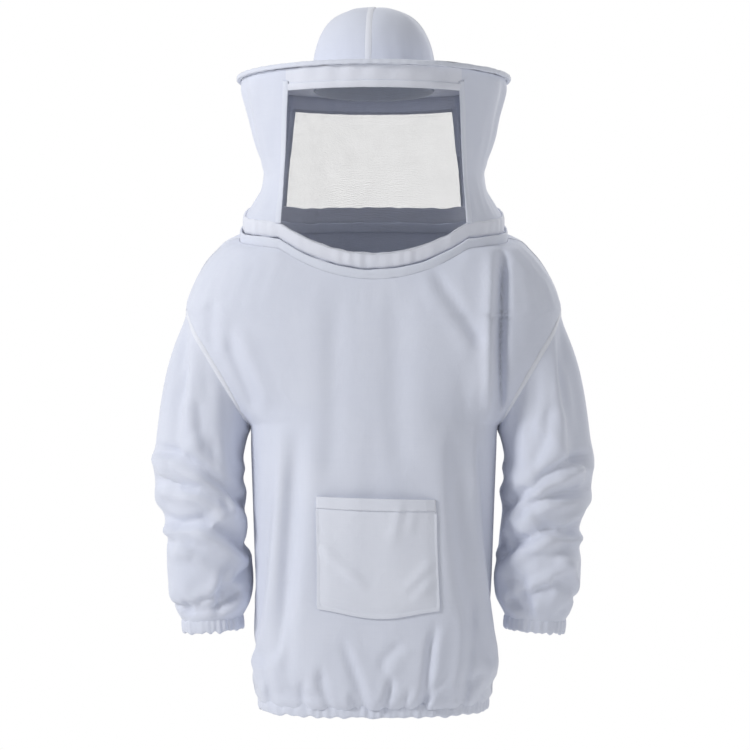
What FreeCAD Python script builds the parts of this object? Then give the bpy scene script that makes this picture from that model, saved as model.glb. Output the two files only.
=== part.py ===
import FreeCAD, Part
import math
import os

# Beekeeping smock with a sewn-on hat and veil, worn position, in millimetres.
# The origin is the centre of the neck opening. +Z is up, the front faces -Y,
# and the wearer's left side is +X.

V = FreeCAD.Vector

# ---- driving sizes ---------------------------------------------------------
cloth = 2.0                  # wall of every cloth piece, fold and air included
net_wall = 1.4               # wall of the veil's netting
side_gap = 0.5               # clearance between pieces on different bodies
squareness = 2.6             # exponent of the body's rounded cross-sections

hem_level = -735.0           # lowest edge of the smock
hem_height = 22.0
hem_half_width = 179.0
hem_half_depth = 129.0
body_half_width = 190.0      # trunk, below the armpits
body_half_depth = 142.0
armpit_level = -290.0
shoulder_half_width = 300.0  # widest section, at the tip of the dropped shoulder
shoulder_level = -128.0

neck_half_width = 210.0
neck_half_depth = 133.0
neck_drop = -18.0            # height of the neck opening's centre
neck_tilt = 15.0             # the opening is lower at the front
neck_binding_height = 15.0
neck_band_height = 24.0
band_wall = 4.0

sleeve_top = V(shoulder_half_width - 10, 0, -120)  # upper end of the armhole, on the silhouette
armpit = V(body_half_width, 0, armpit_level)      # lower end of the armhole
armhole_margin = 6.0               # the sleeve stands this far inside both ends
armhole_half_depth = 78.0
elbow = V(270, 0, -365)
elbow_radius = 76.0                # outside of the upper sleeve at the elbow
elbow_swing = 70.0                 # most that the elbow bends
elbow_notch_spare = 6.0            # degrees that the front notch opens beyond half the bend
elbow_cap_height = 45.0            # round cap of the lower sleeve above the elbow
wrist = V(250, 0, -615)
wrist_radius = 42.0                # inside of the cuff
cuff_length = 20.0
cuff_wall = 6.0

crown_half_width = 96.0
crown_half_depth = 112.0
crown_height = 108.0
crown_fullness = 2.5               # exponent of the crown's side profile
brim_level = 238.0                 # underside of the brim
brim_radius = 209.0
brim_layer = 2.6                   # each of the brim's three layers
piping_radius = 4.6
wire_radius = 1.5
sweatband_height = 40.0
sweatband_below = 16.0             # how far the sweatband hangs under the brim

veil_clearance = 37.0              # from the neck band's top up to the veil's lower end
veil_foot = neck_drop + neck_binding_height + neck_band_height + veil_clearance
veil_power = 2.2                   # exponent of the veil's cross-sections
top_band_height = 34.0
window_half_width = 138.0
binding_width = 14.0
binding_rise = 1.4

pocket_left = -86.0
pocket_right = 98.0
pocket_top = -402.0
pocket_bottom = -580.0
pocket_gape = 13.0                 # how far the pocket stands off the front
pocket_hem_height = 22.0

elastic_wall = 2.0
elastic_height = 12.0
casing_wall = 1.6


# ---- helpers ---------------------------------------------------------------
def ring_wire(station, grow=0.0, power=squareness, count=24):
    """Closed rounded outline at (height, half width, half depth, tilt)."""
    height, half_width, half_depth, tilt = station
    lean = math.radians(tilt)
    points = []
    for i in range(count):
        turn = 2 * math.pi * (i + 0.5) / count
        c, s = math.cos(turn), math.sin(turn)
        x = (half_width + grow) * math.copysign(abs(c) ** (2 / power), c)
        y = (half_depth + grow) * math.copysign(abs(s) ** (2 / power), s)
        points.append(V(x, y * math.cos(lean), height + y * math.sin(lean)))
    curve = Part.BSplineCurve()
    curve.interpolate(points, PeriodicFlag=True)
    return Part.Wire([curve.toShape()])


def stack(stations, grow=0.0, power=squareness):
    """Solid through a list of stations, grown outwards by one distance."""
    return Part.makeLoft([ring_wire(s, grow, power) for s in stations], True, False)


def tilted_ring(half_width, half_depth, wall, low, high, power=squareness):
    """Flat-ended band standing on the neck plane, from low to high above it."""
    lean = math.radians(neck_tilt)
    up = V(0, -math.sin(lean), math.cos(lean))
    outer = Part.Face(ring_wire((neck_drop, half_width, half_depth, neck_tilt), 0, power))
    inner = Part.Face(ring_wire((neck_drop, half_width, half_depth, neck_tilt), -wall, power))
    band = outer.extrude(up * (high - low)).cut(inner.extrude(up * (high - low)))
    band.translate(up * low)
    return band


def flat_ring(half_width, half_depth, wall, low, high, power=squareness):
    """Level band of one wall, from low to high."""
    outer = Part.Face(ring_wire((low, half_width, half_depth, 0), 0, power))
    inner = Part.Face(ring_wire((low, half_width, half_depth, 0), -wall, power))
    return outer.extrude(V(0, 0, high - low)).cut(inner.extrude(V(0, 0, high - low)))


def box(x0, x1, y0, y1, z0, z1):
    return Part.makeBox(x1 - x0, y1 - y0, z1 - z0, V(x0, y0, z0))


def slab(points, half=400.0):
    """Prism with its outline in the XZ plane, half as deep each way along Y."""
    outline = [V(x, -half, z) for x, z in points]
    face = Part.Face(Part.makePolygon(outline + outline[:1]))
    return face.extrude(V(0, 2 * half, 0))


def mirrored(shape):
    return shape.mirror(V(0, 0, 0), V(1, 0, 0))


def ellipse_tube(half_width, half_depth, wall, low, high):
    """Level elliptical tube."""
    def oval(a, b):
        major, minor = (a, b) if a >= b else (b, a)
        edge = Part.Ellipse(V(0, 0, 0), major, minor).toShape()
        if b > a:
            edge.rotate(V(0, 0, 0), V(0, 0, 1), 90)
        edge.translate(V(0, 0, low))
        return Part.Face(Part.Wire([edge])).extrude(V(0, 0, high - low))
    solid = oval(half_width, half_depth)
    if wall <= 0:
        return solid
    return solid.cut(oval(half_width - wall, half_depth - wall))


# ---- body: front and back panels -------------------------------------------
panel_foot = hem_level + hem_height
trunk_stations = [
    (panel_foot, hem_half_width - 0.5, hem_half_depth - 0.5, 0),
    (panel_foot + 32, body_half_width - 2, body_half_depth - 3, 0),
    (-600, body_half_width, body_half_depth, 0),
    (-450, body_half_width, body_half_depth, 0),
    (-360, body_half_width - 1, body_half_depth, 0),
    (armpit_level, body_half_width - 2, body_half_depth - 1, 0),
]
yoke_stations = [
    (armpit_level, body_half_width - 2, body_half_depth - 1, 0),
    (-240, shoulder_half_width - 48, body_half_depth - 1, 0),
    (-180, shoulder_half_width - 14, body_half_depth - 3, 0),
    (shoulder_level, shoulder_half_width, body_half_depth - 7, 2),
    (-95, shoulder_half_width - 13, neck_half_depth, 5),
    (-55, neck_half_width + 48, neck_half_depth - 1, 10),
    (neck_drop, neck_half_width, neck_half_depth, neck_tilt),
]


def armhole_cutter(inward):
    """Everything beside the armhole's plane, moved inwards by one distance."""
    run = sleeve_top - armpit
    run.normalize()
    inwards = V(-run.z, 0, run.x) * inward
    low = armpit + inwards
    high = sleeve_top + run * 60 + inwards
    beside = slab([(low.x, low.z), (high.x, high.z), (900, high.z), (900, low.z)])
    return beside.fuse(mirrored(beside))


def body_solid(grow, inward):
    """The smock's body, filled, grown by one distance and cut at the armholes."""
    whole = stack(trunk_stations, grow).fuse(stack(yoke_stations, grow))
    return whole.cut(armhole_cutter(inward))


armhole_run = sleeve_top - armpit
armhole_half = armhole_run.Length / 2 - armhole_margin
armhole_centre = (sleeve_top + armpit) * 0.5
armhole_run.normalize()
armhole_out = V(armhole_run.z, 0, -armhole_run.x)


def armhole_oval(centre, normal, in_plane, half, half_depth):
    """Elliptical wire in a plane that stands across the arm."""
    across = in_plane * 1.0
    points = []
    for i in range(24):
        turn = 2 * math.pi * i / 24
        spot = centre + across * (half * math.cos(turn)) + V(0, half_depth * math.sin(turn), 0)
        points.append(spot)
    curve = Part.BSplineCurve()
    curve.interpolate(points, PeriodicFlag=True)
    return Part.Wire([curve.toShape()])


def body_panels():
    shell = body_solid(0, 0).cut(body_solid(-cloth, cloth))
    hole = Part.Face(armhole_oval(armhole_centre - armhole_out * 20, armhole_out, armhole_run,
                                  armhole_half - cloth, armhole_half_depth - cloth))
    hole = hole.extrude(armhole_out * 40)
    shell = shell.cut(hole).cut(mirrored(hole))
    front = shell.common(box(-400, 400, -400, 0, -900, 300))
    back = shell.common(box(-400, 400, 0, 400, -900, 300))
    return front, back


# ---- sleeves ---------------------------------------------------------------
arm_line = wrist - elbow
arm_length = arm_line.Length
arm_line.normalize()
arm_across = V(-arm_line.z, 0, arm_line.x)


def sleeve_sections(shrink):
    """Outlines from the armhole to the elbow, each with its own lean."""
    start = armhole_centre + armhole_out * side_gap
    turns = [(V(262, 0, -248), 38.0, 80.0, 79.0), (V(269, 0, -296), 14.0, 73.0, 77.0)]
    wires = [armhole_oval(start, None, armhole_run, armhole_half - shrink,
                          armhole_half_depth - shrink)]
    for centre, lean, half, half_depth in turns:
        angle = math.radians(lean)
        across = V(math.cos(angle), 0, math.sin(angle))
        wires.append(armhole_oval(centre, None, across, half - shrink, half_depth - shrink))
    for rise in (30.0, -1.0):
        spot = elbow - arm_line * rise
        radius = elbow_radius - shrink
        wires.append(armhole_oval(spot, None, arm_across, radius, radius))
    return wires


def sleeve_upper():
    """Tube from the armhole to the elbow, notched in front for the bend."""
    tube = Part.makeLoft(sleeve_sections(0), True, False)
    bore = Part.makeLoft(sleeve_sections(cloth), True, False)
    tube = tube.cut(bore)
    notch = math.tan(math.radians(elbow_swing / 2 + elbow_notch_spare))
    reach = 200.0
    side = [V(0, 0, 0), V(0, -reach, reach * notch), V(0, -reach, -reach), V(0, reach, -reach),
            V(0, reach, 0)]
    wedge = Part.Face(Part.makePolygon([elbow + V(-reach, p.y, p.z) for p in side + side[:1]]))
    return tube.cut(wedge.extrude(V(2 * reach, 0, 0)))


def turned_about_arm(outline):
    """Solid of revolution about the line from elbow to wrist."""
    def place(r, t):
        return elbow + arm_across * r + arm_line * t
    points = [place(r, t) for r, t in outline]
    face = Part.Face(Part.makePolygon(points + points[:1]))
    return face.revolve(elbow, arm_line, 360)


def lower_outline():
    """Radii of the lower sleeve against distance below the elbow, outside."""
    cap = elbow_radius - cloth - side_gap - 1.5
    lowest = math.asin(elbow_cap_height / cap)
    steps = 6
    dome = [(cap * math.cos(lowest * (1 - i / steps)), -cap * math.sin(lowest * (1 - i / steps)))
            for i in range(steps + 1)]
    cuff_start = arm_length - cuff_length
    body = [(cap, 40.0), (cap - 3, 90.0), (cap - 5, 150.0), (cap - 8, 185.0),
            (cap - 16, 210.0), (wrist_radius + cuff_wall, cuff_start)]
    return dome + body


def sleeve_lower():
    """Lower sleeve with a round cap that turns inside the upper sleeve's end."""
    outer = lower_outline()
    inner = [(r - cloth, t) for r, t in reversed(outer)]
    return turned_about_arm(outer + inner)


def cuff_pieces():
    """Cuff casing with its channel, and the elastic that runs in the channel."""
    start = arm_length - cuff_length
    inside, outside = wrist_radius, wrist_radius + cuff_wall
    middle = (inside + outside) / 2
    spare = 0.3
    t0 = start + (cuff_length - elastic_height) / 2
    t1 = t0 + elastic_height
    r0, r1 = middle - elastic_wall / 2, middle + elastic_wall / 2
    tube = [(inside, start), (outside, start), (outside, arm_length), (inside, arm_length)]
    channel = [(r0 - spare, t0 - spare), (r1 + spare, t0 - spare),
               (r1 + spare, t1 + spare), (r0 - spare, t1 + spare)]
    casing = turned_about_arm(tube).cut(turned_about_arm(channel))
    elastic = turned_about_arm([(r0, t0), (r1, t0), (r1, t1), (r0, t1)])
    return casing, elastic


# ---- hem and pocket --------------------------------------------------------
def hem_pieces():
    """Hem casing with its channel, and the elastic inside it."""
    wall = 2 * casing_wall + elastic_wall + 1.0
    casing = flat_ring(hem_half_width, hem_half_depth, wall, hem_level, panel_foot)
    low = hem_level + (hem_height - elastic_height) / 2
    inset = casing_wall
    channel = flat_ring(hem_half_width - inset, hem_half_depth - inset, wall - 2 * casing_wall,
                        low - 0.3, low + elastic_height + 0.3)
    inset += 0.5
    elastic = flat_ring(hem_half_width - inset, hem_half_depth - inset, elastic_wall,
                        low, low + elastic_height)
    return casing.cut(channel), elastic


def pocket_pieces():
    """Patch pocket sewn to the front on three sides and open at the top."""
    skin = stack(trunk_stations, 0)
    face = stack(trunk_stations, pocket_gape)
    hollow = stack(trunk_stations, pocket_gape - cloth)
    area = box(pocket_left, pocket_right, -400, 0, pocket_bottom, pocket_top)
    inside = box(pocket_left + cloth, pocket_right - cloth, -400, 0,
                 pocket_bottom + cloth, pocket_top + 50)
    patch = face.cut(skin).common(area).cut(hollow.common(inside))
    hem_area = box(pocket_left, pocket_right, -400, 0, pocket_top - pocket_hem_height, pocket_top)
    hem = stack(trunk_stations, pocket_gape + 1.2).cut(face).common(hem_area)
    return patch, hem


# ---- veil ------------------------------------------------------------------
# widest circle that the veil can start from inside the piping, allowing for its fuller corners
veil_top_radius = (brim_radius - piping_radius - 2) * 2 ** (1 / veil_power - 1 / 2)
veil_stations = [
    (veil_foot, 180, 152, neck_tilt),
    (82, 173, 158, 12),
    (112, 168, 166, 8),
    (162, 178, 182, 4),
    (205, veil_top_radius - 9, veil_top_radius - 5, 1.5),
    (brim_level, veil_top_radius, veil_top_radius, 0),
]


def veil_shell(outer, inner):
    """Veil wall between two distances from its nominal surface."""
    return stack(veil_stations, outer, veil_power).cut(stack(veil_stations, inner, veil_power))


def veil_pieces():
    """Cloth sides, cloth top bands and net windows, split along their seams."""
    far = 400.0
    seam = window_half_width
    band_foot = brim_level - top_band_height
    wall = veil_shell(0, -cloth)
    net = veil_shell(0, -net_wall)
    trim = veil_shell(binding_rise, 0)
    pieces = {
        "veil_side_left": wall.common(box(seam, far, -far, far, 0, brim_level)),
        "veil_side_right": wall.common(box(-far, -seam, -far, far, 0, brim_level)),
    }
    for name, y0, y1 in (("front", -far, 0), ("back", 0, far)):
        middle = box(-seam, seam, y0, y1, band_foot, brim_level)
        window = box(-seam, seam, y0, y1, 0, band_foot)
        strip = box(seam - binding_width, seam, y0, y1, 0, band_foot)
        strips = trim.common(strip).fuse(trim.common(mirrored(strip)))
        pieces["veil_top_band_" + name] = wall.common(middle)
        pieces["veil_net_" + name] = net.common(window)
        pieces["net_binding_" + name] = strips
    return pieces


# ---- hat -------------------------------------------------------------------
def crown_dome(inset):
    """Filled crown, smaller all round by inset."""
    base = brim_level + 3 * brim_layer
    top = crown_height - inset
    radius = crown_half_width - inset
    steps = 10
    points = []
    for i in range(steps + 1):
        turn = math.pi / 2 * i / steps
        r = radius * math.cos(turn) ** (2 / crown_fullness)
        z = base + top * math.sin(turn) ** (2 / crown_fullness)
        points.append(V(r if i < steps else 0, 0, z))
    side = Part.BSplineCurve()
    side.interpolate(points)
    foot = Part.makeLine(V(0, 0, base), points[0])
    axis = Part.makeLine(points[-1], V(0, 0, base))
    dome = Part.Face(Part.Wire([foot, side.toShape(), axis])).revolve(V(0, 0, 0), V(0, 0, 1), 360)
    oval = FreeCAD.Matrix()
    oval.A22 = (crown_half_depth - inset) / radius
    return dome.transformGeometry(oval)


def hat_pieces():
    """Crown gores and tape, sweatband, three brim layers, wire and piping."""
    base = brim_level + 3 * brim_layer
    shell = crown_dome(0).cut(crown_dome(cloth))
    tape_gap = cloth + 1.0
    tape = crown_dome(cloth).cut(crown_dome(tape_gap))
    cross = box(-6, 6, -400, 400, base, 600).fuse(box(-400, 400, -6, 6, base, 600))
    hole_width, hole_depth = crown_half_width - cloth, crown_half_depth - cloth
    hole = ellipse_tube(hole_width, hole_depth, 0, 0, 600)
    pieces = {"crown_seam_tape": tape.common(cross)}
    for name, x0, y0 in (("front_left", 0, -400), ("front_right", -400, -400),
                         ("back_left", 0, 0), ("back_right", -400, 0)):
        pieces["crown_gore_" + name] = shell.common(box(x0, x0 + 400, y0, y0 + 400, 0, 600))
    piping = Part.makeTorus(brim_radius, piping_radius)
    piping.translate(V(0, 0, brim_level + 1.5 * brim_layer))
    bore = Part.makeTorus(brim_radius, wire_radius + 0.3)
    bore.translate(V(0, 0, brim_level + 1.5 * brim_layer))
    wire = Part.makeTorus(brim_radius, wire_radius)
    wire.translate(V(0, 0, brim_level + 1.5 * brim_layer))
    pieces["rim_piping"] = piping.cut(bore)
    pieces["rim_wire"] = wire
    rim = Part.makeCylinder(brim_radius, 400)
    for i, name in enumerate(("brim_under_cover", "brim_stiffener", "brim_top_cover")):
        low = brim_level + i * brim_layer
        disc = rim.common(box(-400, 400, -400, 400, low, low + brim_layer))
        pieces[name] = disc.cut(hole).cut(piping)
    pieces["sweatband"] = ellipse_tube(hole_width, hole_depth, cloth, brim_level - sweatband_below,
                                       brim_level - sweatband_below + sweatband_height)
    pieces["sweatband"] = pieces["sweatband"].common(crown_dome(cloth).fuse(
        box(-400, 400, -400, 400, 0, base)))
    pieces["crown_seam_tape"] = pieces["crown_seam_tape"].cut(
        box(-400, 400, -400, 400, 0, brim_level - sweatband_below + sweatband_height))
    return pieces


# ---- build and write -------------------------------------------------------
def build():
    pieces = {}
    pieces["front_panel"], pieces["back_panel"] = body_panels()
    pieces["hem_casing"], pieces["hem_elastic"] = hem_pieces()
    pieces["pocket_patch"], pieces["pocket_hem"] = pocket_pieces()
    pieces["neck_binding"] = tilted_ring(neck_half_width + 1, neck_half_depth + 1, band_wall,
                                         0, neck_binding_height)
    pieces["veil_neck_band"] = tilted_ring(neck_half_width, neck_half_depth, band_wall,
                                           neck_binding_height,
                                           neck_binding_height + neck_band_height)
    pieces.update(veil_pieces())
    pieces.update(hat_pieces())
    casing, elastic = cuff_pieces()
    arm = {"sleeve_upper": sleeve_upper(), "sleeve_lower": sleeve_lower(),
           "cuff_casing": casing, "cuff_elastic": elastic}
    for name, shape in arm.items():
        pieces["left_" + name] = shape
        pieces["right_" + name] = mirrored(shape)
    return pieces


os.makedirs("parts", exist_ok=True)
for node, shape in build().items():
    solids = shape.Solids
    whole = solids[0] if len(solids) == 1 else Part.makeCompound(solids)
    whole.exportStep("parts/" + node + ".step")
    bounds = whole.BoundBox
    print(f"{node}: {len(solids)} solid(s), {whole.Volume / 1000:.1f} cm3, valid {whole.isValid()}, "
          f"x {bounds.XMin:.0f}..{bounds.XMax:.0f} y {bounds.YMin:.0f}..{bounds.YMax:.0f} "
          f"z {bounds.ZMin:.0f}..{bounds.ZMax:.0f}")
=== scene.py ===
# %% [markdown]
# # A beekeeper's smock with a sewn-on hat and veil
# The smock is thin white cloth, gathered on elastic at the hem and the cuffs. A wired hat holds the
# veil away from the face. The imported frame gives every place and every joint, and this lesson builds
# the cloth around it, in metres, with the front facing -Y and the wearer's left side at +X.

# %% Load the frame
import math

import bpy
import numpy as np
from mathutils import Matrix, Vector
from mathutils.bvhtree import BVHTree


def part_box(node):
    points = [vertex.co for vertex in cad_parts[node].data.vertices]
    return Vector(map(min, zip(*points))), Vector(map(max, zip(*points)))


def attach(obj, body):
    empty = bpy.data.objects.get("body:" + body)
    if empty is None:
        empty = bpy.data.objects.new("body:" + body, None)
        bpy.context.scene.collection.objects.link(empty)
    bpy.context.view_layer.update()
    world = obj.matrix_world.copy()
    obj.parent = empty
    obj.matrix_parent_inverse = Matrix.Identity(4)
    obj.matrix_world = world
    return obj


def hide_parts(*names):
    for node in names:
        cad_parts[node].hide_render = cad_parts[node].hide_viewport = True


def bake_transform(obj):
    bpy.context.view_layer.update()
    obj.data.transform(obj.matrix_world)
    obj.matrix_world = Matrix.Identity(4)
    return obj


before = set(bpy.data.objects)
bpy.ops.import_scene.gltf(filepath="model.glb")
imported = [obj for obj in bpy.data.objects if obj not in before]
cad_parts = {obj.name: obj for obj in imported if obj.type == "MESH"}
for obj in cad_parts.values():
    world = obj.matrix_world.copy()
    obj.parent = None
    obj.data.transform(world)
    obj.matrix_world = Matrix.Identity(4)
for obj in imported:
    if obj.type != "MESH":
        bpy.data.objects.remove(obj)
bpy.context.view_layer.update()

# %% [markdown]
# ## Small tools
# Every cloth piece here is worked out as rows of points first, because rows are easy to bend,
# gather and measure. One helper turns points and faces into a smooth Blender mesh.

# %% Mesh helpers
SCENE = bpy.context.scene


def new_mesh(name, points, faces, uvs=None, material=None, normals=None):
    """Smooth mesh object from points, faces and one UV pair per face corner."""
    mesh = bpy.data.meshes.new(name)
    mesh.from_pydata([tuple(p) for p in points], [], [tuple(int(i) for i in f) for f in faces])
    if uvs is not None:
        layer = mesh.uv_layers.new(name="cloth")
        layer.data.foreach_set("uv", np.asarray(uvs, np.float32).reshape(-1))
    mesh.shade_smooth()
    if normals is not None:
        mesh.normals_split_custom_set_from_vertices([tuple(n) for n in normals])
    mesh.update()
    piece = bpy.data.objects.new(name, mesh)
    SCENE.collection.objects.link(piece)
    if material is not None:
        mesh.materials.append(material)
    return piece


def smoothstep(value, low, high):
    t = np.clip((np.asarray(value, float) - low) / (high - low), 0, 1)
    return t * t * (3 - 2 * t)


def along_table(table, at, column):
    """Value of one column of a table of stations, read between its rows."""
    rows = np.array(table, float)
    order = np.argsort(rows[:, 0])
    return np.interp(at, rows[order, 0], rows[order, column])


def sheet_of_rows(rows, closed):
    """Faces and UVs of a grid of points: rows[i][j], closed round or open across."""
    count = len(rows[0])
    points = [p for row in rows for p in row]
    faces, uvs = [], []
    span = count if closed else count - 1
    lengths = np.linalg.norm(np.diff(np.array([r for r in rows[0]]), axis=0), axis=1)
    across = np.r_[0, np.cumsum(lengths)]
    across = np.r_[across, across[-1] + lengths.mean()]
    up = [0.0]
    for a, b in zip(rows, rows[1:]):
        up.append(up[-1] + float(np.linalg.norm(np.array(b) - np.array(a), axis=1).mean()))
    for i in range(len(rows) - 1):
        for j in range(span):
            k = (j + 1) % count
            faces.append((i * count + j, i * count + k, (i + 1) * count + k, (i + 1) * count + j))
            uvs += [(across[j], up[i]), (across[j + 1], up[i]),
                    (across[j + 1], up[i + 1]), (across[j], up[i + 1])]
    return points, faces, uvs


# %% [markdown]
# ## Finishes
# Poly-cotton is a plain weave whose threads are never quite even, so a close look shows fine slubs
# along both thread directions. The same weave is on every cloth piece, so it is a node group. It reads
# the cloth's own UVs, in metres, so that the threads follow each piece as it was cut.

# %% Node group: plain weave
def node_group(name, inputs, outputs):
    """Empty shader group with named float inputs and typed outputs."""
    group = bpy.data.node_groups.new(name, "ShaderNodeTree")
    for label, value in inputs:
        socket = group.interface.new_socket(label, in_out="INPUT", socket_type="NodeSocketFloat")
        socket.default_value = value
    for label, kind in outputs:
        group.interface.new_socket(label, in_out="OUTPUT", socket_type=kind)
    start = group.nodes.new("NodeGroupInput")
    end = group.nodes.new("NodeGroupOutput")
    return group, start, end


def math_node(tree, kind, first, second=None):
    node = tree.nodes.new("ShaderNodeMath")
    node.operation = kind
    for slot, value in ((0, first), (1, second)):
        if value is None:
            continue
        if isinstance(value, (int, float)):
            node.inputs[slot].default_value = value
        else:
            tree.links.new(value, node.inputs[slot])
    return node.outputs[0]


def stretched_noise(tree, vector, scale, detail=2.0):
    """Noise drawn out along one thread direction."""
    mapping = tree.nodes.new("ShaderNodeMapping")
    mapping.inputs["Scale"].default_value = scale
    tree.links.new(vector, mapping.inputs["Vector"])
    noise = tree.nodes.new("ShaderNodeTexNoise")
    noise.inputs["Scale"].default_value = 1.0
    noise.inputs["Detail"].default_value = detail
    tree.links.new(mapping.outputs[0], noise.inputs["Vector"])
    return noise.outputs["Fac"]


def make_weave():
    group, start, end = node_group("plain_weave", [("Threads", 700.0), ("Slub", 0.5)],
                                   [("Height", "NodeSocketFloat"), ("Shade", "NodeSocketFloat")])
    uv = group.nodes.new("ShaderNodeUVMap")
    uv.uv_map = "cloth"
    parts = group.nodes.new("ShaderNodeSeparateXYZ")
    group.links.new(uv.outputs[0], parts.inputs[0])
    waves = []
    for axis in (0, 1):
        turn = math_node(group, "MULTIPLY", parts.outputs[axis], start.outputs["Threads"])
        waves.append(math_node(group, "SINE", math_node(group, "MULTIPLY", turn, 2 * math.pi)))
    threads = math_node(group, "MULTIPLY", waves[0], waves[1])
    warp = stretched_noise(group, uv.outputs[0], (900.0, 14.0, 1.0))
    weft = stretched_noise(group, uv.outputs[0], (16.0, 900.0, 1.0))
    slub = math_node(group, "ADD", warp, weft)
    slub = math_node(group, "MULTIPLY", math_node(group, "SUBTRACT", slub, 1.0),
                     start.outputs["Slub"])
    height = math_node(group, "ADD", math_node(group, "MULTIPLY", threads, 0.2), slub)
    group.links.new(height, end.inputs["Height"])
    group.links.new(math_node(group, "ADD", slub, 0.5), end.inputs["Shade"])
    return group


WEAVE = make_weave()

# %% [markdown]
# Cloth that has been packed in a bag keeps soft creases and uneven patches. A second group gives a
# slow mottle for the colour, and a web of faint crease lines for the surface.

# %% Node group: creases and mottle
def make_creases():
    group, start, end = node_group("packed_creases", [("Size", 9.0)],
                                   [("Height", "NodeSocketFloat"), ("Mottle", "NodeSocketFloat")])
    place = group.nodes.new("ShaderNodeTexCoord")
    warped = group.nodes.new("ShaderNodeTexNoise")
    warped.inputs["Detail"].default_value = 3.0
    group.links.new(place.outputs["Object"], warped.inputs["Vector"])
    group.links.new(start.outputs["Size"], warped.inputs["Scale"])
    ridge = math_node(group, "ABSOLUTE", math_node(group, "SUBTRACT", warped.outputs["Fac"], 0.5))
    crease = math_node(group, "POWER", math_node(group, "SUBTRACT", 1.0, ridge), 14.0)
    fine = group.nodes.new("ShaderNodeTexNoise")
    fine.inputs["Scale"].default_value = 60.0
    fine.inputs["Detail"].default_value = 4.0
    group.links.new(place.outputs["Object"], fine.inputs["Vector"])
    total = math_node(group, "ADD", crease, math_node(group, "MULTIPLY", fine.outputs["Fac"], 0.5))
    group.links.new(total, end.inputs["Height"])
    group.links.new(warped.outputs["Fac"], end.inputs["Mottle"])
    return group


CREASES = make_creases()

# %% [markdown]
# Sewing thread shows as short raised dashes beside each seam. The strips that cover the seams carry
# UVs in metres, so a dash is simply a stretch of U, on two lines of V.

# %% Node group: stitches
def make_stitches():
    group, start, end = node_group("seam_stitches", [("Length", 0.0035), ("Edge", 0.0018),
                                                     ("Width", 0.008)],
                                   [("Height", "NodeSocketFloat")])
    uv = group.nodes.new("ShaderNodeUVMap")
    uv.uv_map = "cloth"
    parts = group.nodes.new("ShaderNodeSeparateXYZ")
    group.links.new(uv.outputs[0], parts.inputs[0])
    turns = math_node(group, "DIVIDE", parts.outputs[0], start.outputs["Length"])
    dash = math_node(group, "LESS_THAN", math_node(group, "FRACT", turns), 0.68)
    middle = math_node(group, "MULTIPLY", start.outputs["Width"], 0.5)
    off = math_node(group, "ABSOLUTE", math_node(group, "SUBTRACT", parts.outputs[1], middle))
    line = math_node(group, "SUBTRACT", off, math_node(group, "SUBTRACT", middle,
                                                       start.outputs["Edge"]))
    near = math_node(group, "LESS_THAN", math_node(group, "ABSOLUTE", line), 0.0004)
    group.links.new(math_node(group, "MULTIPLY", dash, near), end.inputs["Height"])
    return group


STITCHES = make_stitches()

# %% [markdown]
# Each finish keeps its own Principled shader. Sheen, which is the soft glow of loose fibres, is one
# constant on the shader's socket. Only the weave, the creases and the stitches reach the sockets
# through nodes.

# %% Cloth materials
def use_group(tree, group, **values):
    node = tree.nodes.new("ShaderNodeGroup")
    node.node_tree = group
    for label, value in values.items():
        node.inputs[label].default_value = value
    return node


def cloth_finish(name, light, dark, threads=700.0, slub=0.5, crease=9.0, stitched=0.0, rough=0.86):
    """Woven cloth between two colours, with weave, creases and optional stitching."""
    material = bpy.data.materials.new(name)
    material.use_nodes = True
    tree = material.node_tree
    shader = tree.nodes["Principled BSDF"]
    shader.inputs["Sheen Weight"].default_value = 0.25
    shader.inputs["Sheen Roughness"].default_value = 0.5
    weave = use_group(tree, WEAVE, Threads=threads, Slub=slub)
    creases = use_group(tree, CREASES, Size=crease)
    mix = tree.nodes.new("ShaderNodeMix")
    mix.data_type = "RGBA"
    mix.inputs[6].default_value = (*dark, 1)
    mix.inputs[7].default_value = (*light, 1)
    shade = math_node(tree, "MULTIPLY", weave.outputs["Shade"], 0.6)
    mottle = math_node(tree, "MULTIPLY", creases.outputs["Mottle"], 0.7)
    tree.links.new(math_node(tree, "ADD", shade, mottle), mix.inputs[0])
    tree.links.new(mix.outputs[2], shader.inputs["Base Color"])
    worn = math_node(tree, "ADD", math_node(tree, "MULTIPLY", weave.outputs["Shade"], 0.12),
                     rough - 0.06)
    tree.links.new(worn, shader.inputs["Roughness"])
    height = math_node(tree, "ADD", math_node(tree, "MULTIPLY", weave.outputs["Height"], 0.25),
                       creases.outputs["Height"])
    if stitched:
        stitches = use_group(tree, STITCHES, Width=stitched)
        height = math_node(tree, "ADD", height, stitches.outputs["Height"])
    bump = tree.nodes.new("ShaderNodeBump")
    bump.inputs["Strength"].default_value = 0.35
    bump.inputs["Distance"].default_value = 0.0011
    tree.links.new(height, bump.inputs["Height"])
    tree.links.new(bump.outputs[0], shader.inputs["Normal"])
    return material


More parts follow.
